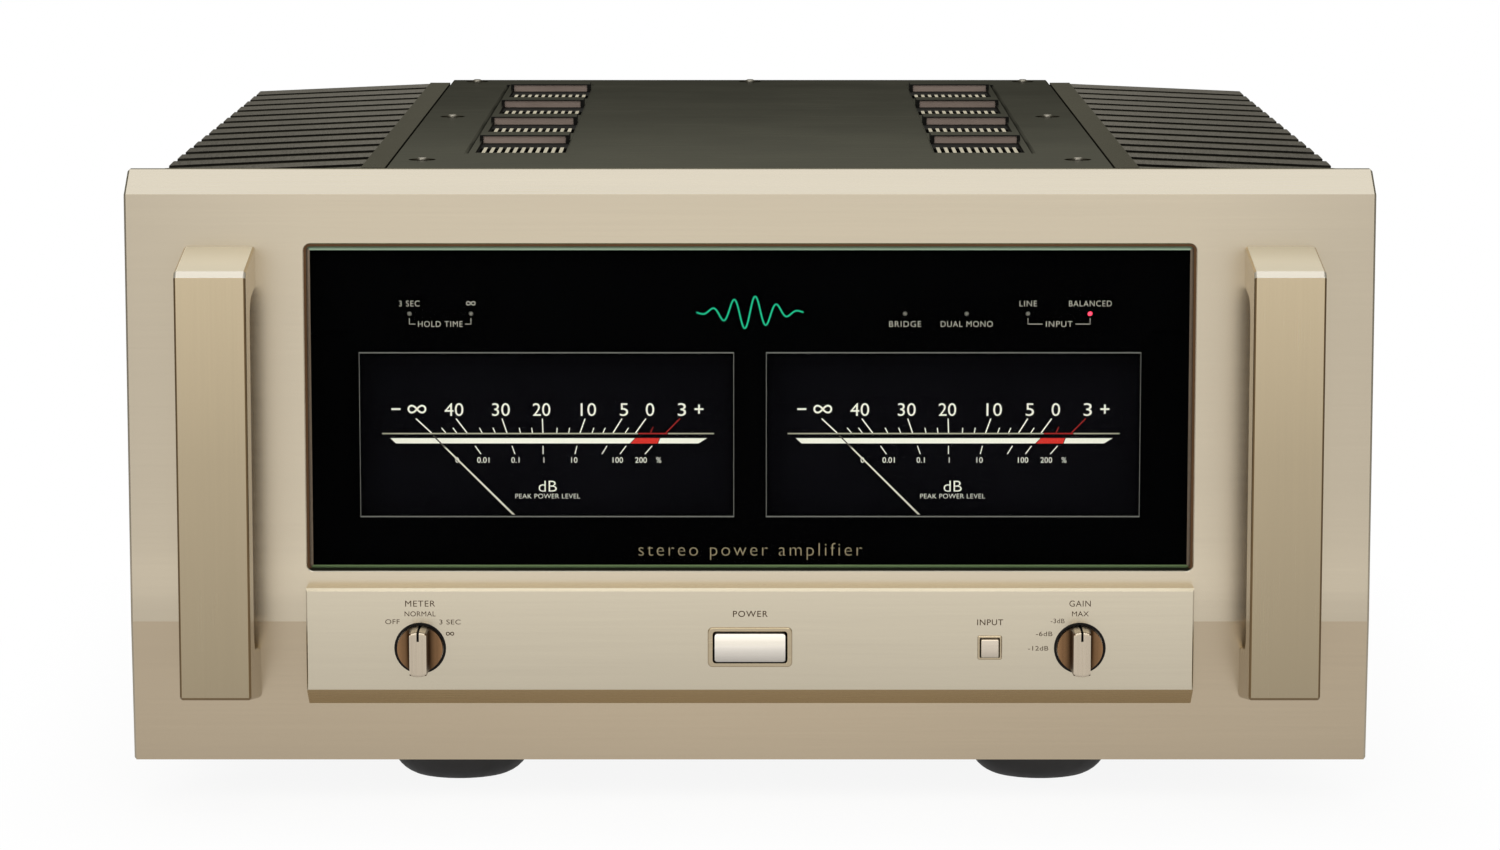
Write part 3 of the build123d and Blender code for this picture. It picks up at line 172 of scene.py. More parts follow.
class Material(Tree):
    """A named material, kept in MATERIALS."""

    def __init__(self, name):
        self.data = bpy.data.materials.new(name)
        self.data.use_nodes = True
        super().__init__(self.data.node_tree)
        self.bsdf = self.nodes["Principled BSDF"]
        self.surface = self.nodes["Material Output"].inputs["Surface"]
        MATERIALS[name] = self.data

    def set(self, name, value):
        self.put(self.bsdf.inputs[name], value)

    def bump(self, height, strength, distance):
        """Bumps the surface; distance in metres."""
        node = self.new("ShaderNodeBump")
        self.link(height, node.inputs["Height"])
        node.inputs["Strength"].default_value = strength
        node.inputs["Distance"].default_value = distance
        self.set("Normal", node.outputs["Normal"])


def rgb(r, g, b):
    """sRGB 0-255 to linear RGBA."""
    def linear(c):
        c /= 255.0
        return c / 12.92 if c <= 0.04045 else ((c + 0.055) / 1.055) ** 2.4
    return (linear(r), linear(g), linear(b), 1.0)


def shade(colour, gain, lift=0.0):
    """Scales and lifts a linear colour."""
    return tuple(min(1.0, c * gain + lift) for c in colour[:3]) + (1,)


# ---------------------------------------------------------------- metals
def grained_metal(name, srgb, rough, grain="X", metallic=1.0, contrast=0.05, bump=0.10,
                  aniso=0.5, fine=1.0, edge_gain=0.25, broad=0.05, graze=(1, 1, 1), tone=(),
                  uneven=1.0):
    """Metal with a directional grain, slow tonal drift, small roughness changes, and edges lighter
    from wear and a painted highlight.

    grain is the axis it runs along and fine its density; contrast is its strength and broad that
    of the drift. graze dims the reflection at a grazing view. tone lists (axis, stops) of painted
    light and shade: the colour grows slowly lighter or darker along each axis, and with graze the
    reflection too. uneven scales the small changes of roughness.
    """
    metal = Material(name)
    colour = rgb(*srgb)
    along = [axis == grain for axis in "XYZ"]
    coarse_grain = metal.noise([9.0 if a else 900.0 * fine for a in along], detail=4.0)
    fine_grain = metal.noise([30.0 if a else 3600.0 * fine for a in along], detail=2.0, rough=0.5,
                             offset=(3.1, 1.7, 0.4))
    streaks = metal.noise([2.5 if a else 45.0 for a in along], rough=0.55, offset=(7.3, 2.9, 5.1))
    patches = metal.noise(14, detail=4.0, offset=(1.3, 4.4, 2.2))
    grains = metal.math("ADD", metal.math("MULTIPLY", coarse_grain, 0.6),
                        metal.math("MULTIPLY", fine_grain, 0.4))
    base = metal.mix(metal.spread(grains), shade(colour, 1 - contrast * 2.2),
                     shade(colour, 1 + contrast * 2.2))
    base = metal.mix(1.0, base, metal.spread(streaks, 1 - broad, 1 + broad), "MULTIPLY")
    # edges lighter and a little smoother in patches: wear, and a painted highlight
    edge_wear_and_highlight = metal.math("MULTIPLY", metal.edge(radius=0.0007),
                      metal.span(patches, 0.4, 1.0, from_low=0.35, from_high=0.65))
    base = metal.mix(metal.math("MULTIPLY", edge_wear_and_highlight, edge_gain), base,
                     shade(colour, gain=1.25, lift=0.05))
    tint = graze + (1,)
    # painted light and shade: the colour, and a dimmed reflection with it, scaled along each axis
    for axis, stops in tone:
        depth = metal.curve(axis, stops)
        base = metal.mix(1.0, base, depth, "MULTIPLY")
        if graze[0] < 1:
            tint = metal.mix(1.0, tint, depth, "MULTIPLY")
    metal.set("Base Color", base)
    metal.set("Specular Tint", tint)
    metal.set("Metallic", metallic)
    roughness = metal.math(
        "ADD", metal.spread(grains, rough - 0.05 * uneven, rough + 0.06 * uneven),
        metal.spread(patches, -0.03 * uneven, 0.04 * uneven))
    polish = metal.math("MULTIPLY", edge_wear_and_highlight, 0.08)
    metal.set("Roughness", metal.math("SUBTRACT", roughness, polish, clamp=True))
    if aniso:
        metal.set("Anisotropic", aniso)
        tangent = metal.new("ShaderNodeCombineXYZ")
        for socket, a in zip(tangent.inputs, along):
            socket.default_value = float(a)
        metal.set("Tangent", tangent.outputs[0])
    metal.bump(grains, strength=bump, distance=0.00003)
    return metal


# painted light and shade along an axis, as factors on the colour: (place in mm, factor)
PANEL_PAINTED_SHADING = [("Z", [(66, 0.95), (76, 1.0), (81, 1.07), (90, 1.07), (100, 1.0), (120, 0.95),
                     (160, 0.91), (205, 0.93), (238, 0.94)]),
              ("X", [(120, 1.0), (165, 0.99), (215, 0.90), (232, 0.87)])]
LOW_PAINTED_SHADING = [("X", [(30, 1.05), (110, 1.01), (200, 0.97), (232, 0.95)])]
HANDLE_PAINTED_SHADING = [("Z", [(40, 0.66), (135, 0.78), (205, 1.0)])]
STRIP_PAINTED_SHADING = [("Z", [(37, 0.84), (46, 0.92), (70, 0.99), (83, 1.04)])]
STRIP_UNDER_PAINTED_SHADING = [("Z", [(37, 0.84), (46, 0.92)])]
KNOB_PAINTED_SHADING = [("X", [(114.9, 1.9), (117.6, 1.3), (119.6, 0.5), (127.2, 0.5), (129.2, 1.3),
                    (131.9, 1.9)])]
BUTTON_PAINTED_SHADING = [("Z", [(54.0, 0.5), (57.0, 0.68), (61.0, 0.92), (66.0, 1.0)])]
SMALL_BUTTON_PAINTED_SHADING = [("Z", [(56.0, 0.5), (60.0, 0.8), (65.0, 1.0)])]
COVER_PAINTED_SHADING = [("Y", [(-202, 1.0), (-120, 0.93), (35, 0.64), (240, 0.45)])]
HEATSINK_PAINTED_SHADING = [("X", [(136, 1.0), (226, 0.75)])]

# champagne anodising: SATIN is the large smooth parts, MATT the tops of the handles
SATIN = dict(contrast=0.010, bump=0.015, broad=0.010, uneven=0.25)
MATT = dict(contrast=0.008, bump=0.02, aniso=0.0, broad=0.01, uneven=0.25)
# front panel: painted light just above the control strip, painted shade higher up and towards the sides
grained_metal("champagne_anodised", (213, 200, 177), rough=0.25, aniso=0.25, edge_gain=0.3,
              tone=PANEL_PAINTED_SHADING, **SATIN)
# darker copies: painted shade on the bevel along the top and on the face that leans down, with painted
# shade towards its sides
grained_metal("champagne_bevel_shaded", (185, 177, 162), rough=0.27, aniso=0.25, edge_gain=0.3, **SATIN)
grained_metal("champagne_low_shaded", (198, 181, 155), rough=0.25, aniso=0.25, edge_gain=0.3,
              tone=LOW_PAINTED_SHADING, **SATIN)
# handles: painted shade darker towards the bottom; a lighter copy painted on the top, a painted
# highlight on the band under it, painted shade on the chamfers round the front face
grained_metal("champagne_handle", (201, 184, 153), rough=0.26, grain="Z", aniso=0.25,
              edge_gain=0.2, tone=HANDLE_PAINTED_SHADING, **SATIN)
grained_metal("champagne_top_lit", (217, 209, 190), rough=0.40, metallic=0.55, edge_gain=0.2, **MATT)
grained_metal("champagne_band_highlight", (196, 190, 179), rough=0.34, metallic=0.8, edge_gain=0.0, **MATT)
grained_metal("champagne_edge_shaded", (124, 102, 72), rough=0.34, grain="Z", contrast=0.02, bump=0.02,
              aniso=0.0, edge_gain=0.0, broad=0.02, uneven=0.25)
# control strip: painted shade darker towards the bottom and painted light along the top; a darker copy
# paints shade on the faces under it
grained_metal("champagne_strip", (214, 203, 181), rough=0.25, aniso=0.25, edge_gain=0.45,
              tone=STRIP_PAINTED_SHADING, **SATIN)
grained_metal("strip_under_shaded", (204, 183, 146), rough=0.27, aniso=0.2, edge_gain=0.4,
              tone=STRIP_UNDER_PAINTED_SHADING, **SATIN)

# knobs and buttons
BUTTON = dict(rough=0.24, contrast=0.012, bump=0.015, aniso=0.2, uneven=0.25)
grained_metal("bezel_metal", (190, 174, 146), rough=0.24, contrast=0.02, bump=0.03, aniso=0.2,
              edge_gain=0.4)
grained_metal("knob_metal", (200, 186, 166), rough=0.26, grain="Z", contrast=0.025, bump=0.05,
              aniso=0.4, edge_gain=0.5)
# knob sides: a darker copy with painted shade, darkest next to the middle bar
grained_metal("knob_side_shaded", (112, 84, 58), rough=0.3, grain="Y", contrast=0.03, bump=0.05,
              aniso=0.3, edge_gain=0.2, tone=KNOB_PAINTED_SHADING)
# buttons: painted shade on their lower part
grained_metal("button_pale", (252, 244, 233), metallic=0.75, edge_gain=0.4, tone=BUTTON_PAINTED_SHADING,
              **BUTTON)
grained_metal("button_small", (236, 222, 204), metallic=0.8, edge_gain=0.3,
              tone=SMALL_BUTTON_PAINTED_SHADING, **BUTTON)

# body, heatsinks and hardware
# cover: painted light towards the front, painted shade towards the back
grained_metal("cover_dark", (75, 75, 71), rough=0.30, bump=0.14, aniso=0.4, fine=0.8,
              edge_gain=0.2, graze=(0.99, 0.985, 0.95), tone=COVER_PAINTED_SHADING)
# heatsinks: painted shade towards the outer ends of the fins
grained_metal("heatsink_dark", (93, 90, 83), rough=0.28, grain="Z", bump=0.12, aniso=0.3,
              fine=0.9, edge_gain=0.35, graze=(0.84, 0.82, 0.77), tone=HEATSINK_PAINTED_SHADING)
# painted shade on the front and back faces of the fins
grained_metal("fin_face_shaded", (40, 38, 34), rough=0.34, grain="Z", contrast=0.06, bump=0.12,
              aniso=0.3, fine=0.9, edge_gain=0.3, graze=(0.45, 0.45, 0.43))
grained_metal("steel_plain", (168, 166, 160), rough=0.33, contrast=0.06, bump=0.15, aniso=0.4,
              edge_gain=0.4)
grained_metal("screw_steel", (134, 130, 120), rough=0.36, bump=0.08, aniso=0.0, edge_gain=0.5)
# painted shade in the countersinks round the cover screws and in their sockets
grained_metal("screw_sunk_shade", (40, 38, 34), rough=0.34, contrast=0.06, bump=0.08, aniso=0.0,
              edge_gain=0.4, graze=(0.4, 0.4, 0.38))
grained_metal("gold_plate", (222, 184, 108), rough=0.2, grain="Y", contrast=0.03, bump=0.05,
              aniso=0.2, edge_gain=0.4)


def vent_rib_sheen():
    """Ribs of the vents: dark, with a painted sheen that makes their tops pale at a low view."""
    metal = grained_metal("vent_rib_sheen", (206, 198, 176), rough=0.42, grain="Y", metallic=0.35,
                          aniso=0.3, edge_gain=0.3)
    pale = metal.bsdf.inputs["Base Color"].links[0].from_socket
    view = metal.new("ShaderNodeLayerWeight")
    view.inputs["Blend"].default_value = 0.5
    up = metal.separate(metal.new("ShaderNodeNewGeometry").outputs["Normal"])[2]
    # painted sheen: the rib tops turn pale only when seen low and facing up
    low_view = metal.span(view.outputs["Facing"], 0, 1, from_low=0.70, from_high=0.88)
    sheen = metal.math("MULTIPLY", low_view, metal.math("GREATER_THAN", up, 0.6))
    metal.set("Base Color", metal.mix(sheen, rgb(52, 49, 42), pale))


vent_rib_sheen()


# ---------------------------------------------------------------- paints, rubber and plastic
def textured_paint(name, srgb, rough, scale, bump, metallic, contrast, spec, edge_gain):
    """Fine powder texture with small tonal and gloss changes and rubbed edges."""
    paint = Material(name)
    colour = rgb(*srgb)
    grit = paint.noise(scale)
    patches = paint.noise(22, detail=4.0, offset=(2.0, 5.0, 1.0))
    specks = paint.noise(160, offset=(6.0, 1.0, 3.0))
    base = paint.mix(paint.spread(patches), shade(colour, 1 - contrast),
                     shade(colour, 1 + contrast, lift=0.002))
    rubbed = paint.math("MULTIPLY", paint.edge(radius=0.0006),
                        paint.span(specks, 0.1, 1.0, from_low=0.4, from_high=0.65))
    base = paint.mix(paint.math("MULTIPLY", rubbed, edge_gain), base,
                     shade(colour, gain=1.5, lift=0.06))
    paint.set("Base Color", base)
    paint.set("Metallic", metallic)
    paint.set("Specular IOR Level", spec)
    paint.set("Roughness", paint.math("ADD", paint.spread(specks, rough - 0.06, rough + 0.06),
                                      paint.spread(patches, -0.03, 0.03), clamp=True))
    paint.bump(grit, strength=bump, distance=0.00006)


# name, sRGB colour, rough, texture scale, bump, metallic, contrast, specular, edge gain
PAINTS = [
    ("vent_cap", (137, 122, 114), 0.6, 1500, 0.8, 0.0, 0.14, 0.15, 0.15),
    # vent_floor: near black, painted shade on the sunk faces, slots and gaps of the grilles
    ("vent_floor", (17, 16, 14), 0.65, 900, 0.3, 0.0, 0.08, 0.08, 0.08),
    ("rear_paint", (46, 45, 41), 0.46, 1100, 0.6, 0.3, 0.10, 0.5, 0.2),
    ("sheet_steel", (58, 57, 52), 0.5, 1200, 0.5, 0.5, 0.10, 0.5, 0.2),
    ("foot_rubber", (70, 69, 70), 0.55, 1600, 0.6, 0.0, 0.12, 0.3, 0.12),
    ("gasket_rubber", (86, 58, 30), 0.5, 1500, 0.3, 0.0, 0.08, 0.2, 0.1),
    ("gasket_shade", (20, 22, 10), 0.6, 1500, 0.3, 0.0, 0.08, 0.08, 0.05),
    ("ring_black", (15, 12, 10), 0.45, 1200, 0.15, 0.0, 0.08, 0.15, 0.08),
    ("groove_black", (9, 8, 7), 0.6, 1500, 0.2, 0.0, 0.08, 0.05, 0.0),
    ("black_plastic", (26, 26, 26), 0.42, 1500, 0.45, 0.0, 0.12, 0.5, 0.2),
    ("cap_black", (24, 24, 25), 0.26, 1200, 0.12, 0.0, 0.08, 0.5, 0.2),
    ("cap_red", (150, 22, 20), 0.26, 1200, 0.12, 0.0, 0.08, 0.5, 0.2),
    ("board_green", (24, 78, 44), 0.35, 420, 0.3, 0.0, 0.3, 0.5, 0.2),
    ("capacitor_sleeve", (34, 38, 58), 0.36, 600, 0.15, 0.0, 0.15, 0.5, 0.2),
    ("copper_winding", (150, 84, 40), 0.34, 500, 0.4, 0.4, 0.2, 0.5, 0.2),
]
for row in PAINTS:
    textured_paint(*row)


def flat_black(name, colour, rough):
    """Deep black without a highlight; the colour is linear."""
    black = Material(name)
    grit = black.noise(1200)
    patches = black.noise(25)
    black.set("Base Color", black.mix(black.spread(patches), colour, shade(colour, 1.35)))
    black.set("Specular IOR Level", 0.0)
    black.set("Roughness", black.spread(grit, rough - 0.05, rough + 0.05))
    black.bump(grit, strength=0.2, distance=0.00004)


flat_black("mask_black", (0.0006, 0.0006, 0.0007, 1), rough=0.8)
flat_black("dial_black", (0.0026, 0.0024, 0.0034, 1), rough=0.85)


# ---------------------------------------------------------------- inks, needle and lamps
def finish_ink(ink, base, density, rough, glow):
    """Gives an ink its colour, its (low, high) roughness and a glow of painted light."""
    ink.set("Base Color", base)
    ink.set("Roughness", ink.span(density, *rough))
    ink.set("Specular IOR Level", 0.2)
    if glow:
        ink.set("Emission Color", base)
        ink.set("Emission Strength", glow)
    ink.bump(density, strength=0.15, distance=0.00002)


def printed_ink(name, srgb, glow):
    """Printed ink of slightly uneven density."""
    ink = Material(name)
    colour = rgb(*srgb)
    density = ink.noise(2600)
    base = ink.mix(ink.spread(density), shade(colour, 0.88), colour)
    finish_ink(ink, base, density, rough=(0.5, 0.65), glow=glow)


# name, sRGB colour, glow (painted light standing in for the light on the prints)
for row in [
    ("ink_white", (234, 230, 218), 0.30), ("ink_line", (172, 166, 148), 0.20),
    ("ink_red", (196, 40, 32), 0.34), ("ink_red_line", (150, 28, 26), 0.24),
    ("ink_grey", (110, 110, 106), 0.18), ("ink_label", (178, 174, 162), 0.36),
    ("ink_gold", (150, 136, 108), 0.34), ("ink_green", (12, 160, 116), 0.55),
    ("ink_brown", (70, 52, 33), 0.0), ("ink_rear", (190, 190, 184), 0.0),
]:
    printed_ink(*row)


def needle_paint():
    """A pale shank, with painted shade on the end where the needle crosses the scale bar."""
    dark_from, dark_to = 132.6 * MM, 133.6 * MM
    paint = Material("needle_white")
    density = paint.noise(2600)
    height = paint.separate(paint.object_place())[2]
    shank = paint.mix(paint.spread(density), rgb(206, 200, 184), rgb(226, 220, 204))
    base = paint.mix(paint.span(height, 0, 1, dark_from, dark_to), shank, rgb(70, 66, 58))
    finish_ink(paint, base, density, rough=(0.45, 0.6), glow=0.22)


def lamp(name, low, high, glow, strength, rough):
    """Lamp lens: mottled between two colours, with its own light."""
    lens = Material(name)
    mottle = lens.noise(1500, detail=2.0, rough=0.5)
    lens.set("Base Color", lens.mix(mottle, rgb(*low), rgb(*high)))
    lens.set("Roughness", rough)
    lens.set("Emission Color", rgb(*glow))
    lens.set("Emission Strength", strength)


needle_paint()
lamp("lamp_off", (118, 114, 106), (150, 146, 138), glow=(120, 116, 106), strength=0.3, rough=0.25)
lamp("lamp_red_lit", (255, 60, 80), (235, 30, 50), glow=(255, 62, 88), strength=2.2, rough=0.5)


# ---------------------------------------------------------------- window glass
def clear_glass():
    """Coated glass, nearly free of reflection."""
    glass = Material("glass_clear")
    clear = glass.new("ShaderNodeBsdfTransparent")
    tint = glass.noise(60, rough=0.5)
    glass.link(glass.mix(tint, (0.965, 0.985, 0.975, 1), (0.985, 0.995, 0.99, 1)),
               clear.inputs["Color"])
    gloss = glass.new("ShaderNodeBsdfGlossy")
    gloss.inputs["Roughness"].default_value = 0.04
    fresnel = glass.new("ShaderNodeFresnel")
    fresnel.inputs["IOR"].default_value = 1.45
    reflection = glass.math("MULTIPLY", fresnel.outputs[0], 0.02)
    glass.link(glass.mix_shaders(reflection, clear.outputs[0], gloss.outputs[0]), glass.surface)


def glass_edge(name, low, high):
    """Polished edge of the glass, streaked along X; its colours, one for each facing, are painted light.
    """
    edge = Material(name)
    streaks = edge.noise((12, 900, 900), rough=0.5)
    edge.set("Base Color", edge.mix(streaks, rgb(*low), rgb(*high)))
    edge.set("Roughness", 0.3)
    edge.set("Specular IOR Level", 0.25)
    edge.bump(streaks, strength=0.1, distance=0.00002)


clear_glass()
# painted light on the edge of the glass: lighter green on top, a darker green below, a brownish painted
# reflection on the sides
glass_edge("glass_edge_top", (132, 156, 132), (160, 182, 160))
glass_edge("glass_edge_low", (114, 142, 100), (140, 166, 120))
glass_edge("glass_edge_side", (124, 110, 96), (152, 138, 122))


# ---------------------------------------------------------------- finishing the CAD nodes
def finish_node(name, material, bevel, segments=2):
    """Gives a CAD node its material and, with a bevel, softened edges.
    Its flats are first joined into single faces, so the light runs even over them."""
    node = NODES[name]
    node.data.materials.clear()
    node.data.materials.append(MATERIALS[material])
    if bevel:
        weld = node.modifiers.new("weld", "WELD")
        weld.merge_threshold = 0.000004
        flats = node.modifiers.new("whole_flats", "DECIMATE")
        flats.decimate_type = "DISSOLVE"
        flats.angle_limit = math.radians(0.25)
        flats.delimit = {"MATERIAL"}
        soft = node.modifiers.new("soft_edge", "BEVEL")
        soft.width = bevel * MM
        soft.segments = segments
        soft.limit_method = "ANGLE"
        soft.angle_limit = math.radians(35)
        soft.harden_normals = False
        soft.use_clamp_overlap = True
        normals = node.modifiers.new("even_light", "WEIGHTED_NORMAL")
        normals.weight = 60
        normals.keep_sharp = True
    return node


def paint_faces(node, extras, rule):
    """Adds materials to a node; rule(normal, centre) names the one for a face, or None."""
    first = len(node.data.materials)
    for name in extras:
        node.data.materials.append(MATERIALS[name])
    for face in node.data.polygons:
        name = rule(face.normal, face.center)
        if name is not None:
            face.material_index = first + extras.index(name)


def front_panel_rule(normal, centre):
    """Painted shade: darker copies on the face that leans down and on the bevel along the top."""
    if normal.y < -0.9 and normal.z < -0.03:
        return "champagne_low_shaded"
    if 0.5 < normal.z < 0.97 and normal.y < -0.2:
        return "champagne_bevel_shaded"
    return None


def control_panel_rule(normal, centre):
    # painted shade: the darker copy goes on the faces under the strip
    return "strip_under_shaded" if normal.z < -0.3 and normal.y < -0.2 else None


def handle_rule(normal, centre):
    """Top face painted lighter, a painted highlight on the band under it, and painted shade on the
    chamfers round the front face.
    """
    high = centre.z > 200 * MM
    if normal.z > 0.95 and high:
        return "champagne_top_lit"
    if 0.4 < normal.z < 0.95 and normal.y < -0.3 and high:
        return "champagne_band_highlight"
    if normal.y < -0.3 and (0.3 < abs(normal.x) < 0.95 or normal.z < -0.3):
        return "champagne_edge_shaded"
    return None


paint_faces(finish_node("front_panel", "champagne_anodised", bevel=0.3),
            ["champagne_low_shaded", "champagne_bevel_shaded"], front_panel_rule)
paint_faces(finish_node("control_panel", "champagne_strip", bevel=0.25),
            ["strip_under_shaded"], control_panel_rule)
for name in ("handle_left", "handle_right"):
    paint_faces(finish_node(name, "champagne_handle", bevel=0.25),
                ["champagne_top_lit", "champagne_band_highlight", "champagne_edge_shaded"], handle_rule)

HANDLE_REACH = 37  # how far the handles stand in front of the panel face
FACE_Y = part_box("handle_left")[0].y + HANDLE_REACH * MM


def depth_y(depth):
    """Y in metres of a depth in mm behind the panel face."""
    return FACE_Y + depth * MM


# window: gasket, glass with its edges, and the lamps behind it
EDGE_BAND = 1.6  # depth of the glass edge, from its front, that shows the edge colours
glass_node = finish_node("window_glass", "glass_clear", bevel=0)
glass_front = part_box("window_glass")[0].y


def gasket_rule(normal, centre):
    return "gasket_shade" if centre.z < 89.3 * MM else None


def glass_rule(normal, centre):
    if abs(normal.y) > 0.98 or centre.y > glass_front + EDGE_BAND * MM:
        return None
    if normal.z > 0.5:
        return "glass_edge_top"
    return "glass_edge_low" if normal.z < -0.5 else "glass_edge_side"


def lamp_rule(normal, centre):
    """Only the lamp farthest right is lit."""
    return "lamp_red_lit" if centre.x > 0.12 else None


paint_faces(finish_node("window_gasket", "gasket_rubber", bevel=0), ["gasket_shade"], gasket_rule)
paint_faces(glass_node, ["glass_edge_top", "glass_edge_low", "glass_edge_side"], glass_rule)
paint_faces(finish_node("indicator_lamps", "lamp_off", bevel=0), ["lamp_red_lit"], lamp_rule)


def finish_knob(name):
    """Bright middle bar with a black groove, between sides darkened with painted shade."""
    node = finish_node(name, "knob_metal", bevel=0.2)
    low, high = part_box(name)
    middle = (low.x + high.x) / 2

    def rule(normal, centre):
        off = abs(centre.x - middle)
        if off < 0.47 * MM and centre.z > 65.25 * MM and centre.y > low.y + 0.2 * MM:
            return "groove_black"
        if (abs(normal.y) < 0.9 and off > 2.6 * MM) or off > 3.6 * MM:
            return "knob_side_shaded"
        return None

    paint_faces(node, ["knob_side_shaded", "groove_black"], rule)


finish_knob("meter_knob")
finish_knob("gain_knob")


def fin_rule(normal, centre):
    """Painted shade on the front and back faces of the fins."""
    return "fin_face_shaded" if abs(normal.y) > 0.9 and abs(centre.x) > 0.146 else None


for name in ("heatsink_left", "heatsink_right"):
    paint_faces(finish_node(name, "heatsink_dark", bevel=0.4), ["fin_face_shaded"], fin_rule)

# top cover: screws at (x, depth), the last one in the middle of the rear row
COVER_SCREWS = [(x, depth) for depth in (54, 254, 450) for x in (-125, 125)] + [(0, 450)]


def near_cover_screw(centre, radius):
    return any(math.hypot(centre.x - x * MM, centre.y - depth_y(depth)) < radius * MM
               for x, depth in COVER_SCREWS)


def cover_rule(normal, centre):
    """Painted shade on the sunk faces round the screws."""
    sunk = centre.z < 237.96 * MM and normal.z < 0.97
    return "screw_sunk_shade" if sunk and near_cover_screw(centre, 5.4) else None


def cover_screw_rule(normal, centre):
    """Painted shade on the low faces of each screw and the sunk middle of its head."""
    socket = normal.z > -0.5 and centre.z < 238.9 * MM and near_cover_screw(centre, 0.95)
    return "screw_sunk_shade" if centre.z < 237.1 * MM or socket else None


def vent_rule(normal, centre):
    """Ribs pale with a painted sheen, a warm grey face under each hood, cover-coloured tops; what is
    sunk stays black, as painted shade.
    """
    hood_depth, hood_pitch = 140.5, 89.0
    z, depth = centre.z / MM, (centre.y - FACE_Y) / MM
    if normal.z > 0.9:
        if z > 237.8:
            return "cover_dark"
        if 236.7 < z < 237.1:
            return "vent_rib_sheen"
    off_hood = abs((depth - hood_depth + hood_pitch / 2) % hood_pitch - hood_pitch / 2)
    if normal.y < -0.9 and 236.6 < z < 239.4 and off_hood < 0.12:
        return "vent_cap"
    return None


paint_faces(finish_node("top_cover", "cover_dark", bevel=0.15), ["screw_sunk_shade"], cover_rule)
paint_faces(finish_node("top_cover_screws", "screw_steel", bevel=0), ["screw_sunk_shade"],
            cover_screw_rule)
for name in ("vent_grille_left", "vent_grille_right"):
    paint_faces(finish_node(name, "vent_floor", bevel=0), ["vent_cap", "vent_rib_sheen", "cover_dark"],
                vent_rule)

finish_node("power_button", "button_pale", bevel=0.45, segments=3)

# nodes of one material: material, bevel in mm, node names
PLAIN_FINISHES = [
    ("mask_black", 0, "display_mask"),
    ("board_green", 0.15, "display_board"),
    ("dial_black", 0, "meter_dial_left meter_dial_right"),
    ("steel_plain", 0.2, "meter_movement_left meter_movement_right"),
    ("needle_white", 0, "meter_needle_left meter_needle_right"),
    ("sheet_steel", 0.2, "sub_front_plate bottom_plate"),
    ("bezel_metal", 0.15, "power_button_bezel"),
    ("button_small", 0, "input_button"),
    ("bezel_metal", 0.1, "input_button_bezel"),
    ("black_plastic", 0.3, "power_switch input_switch rotary_switches output_transistors"),
    ("steel_plain", 0.2, "meter_knob_shaft gain_knob_shaft capacitor_clamp"),
    ("ring_black", 0.1, "knob_rings"),
    ("rear_paint", 0.2, "rear_panel"),
    ("foot_rubber", 0, "feet"),
    ("sheet_steel", 0, "transformer_case"),
    ("copper_winding", 0, "toroidal_transformer"),
    ("capacitor_sleeve", 0, "filter_capacitors"),
    ("board_green", 0.2, "rectifier_board amp_board_left amp_board_right input_board"),
    ("cap_black", 0, "wiring_harness"),
    ("gold_plate", 0.15, "terminal_posts phono_jacks"),
    ("cap_red", 0.2, "terminal_cap_1 terminal_cap_4"),
    ("cap_black", 0.2, "terminal_cap_2 terminal_cap_3"),
    ("black_plastic", 0.2, "mains_inlet balanced_sockets"),
    ("steel_plain", 0.15, "latch_left latch_right"),
    ("black_plastic", 0.15, "mode_switch mode_slider"),
    ("screw_steel", 0.1, "chassis_screws"),
]
for material, bevel, names in PLAIN_FINISHES:
    for name in names.split():
        finish_node(name, material, bevel)


# ---------------------------------------------------------------- printing helpers
def add_print(name, mesh, material):
    node = bpy.data.objects.new(name, mesh)
    scene.collection.objects.link(node)
    mesh.materials.append(MATERIALS[material])
    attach(node, "chassis")


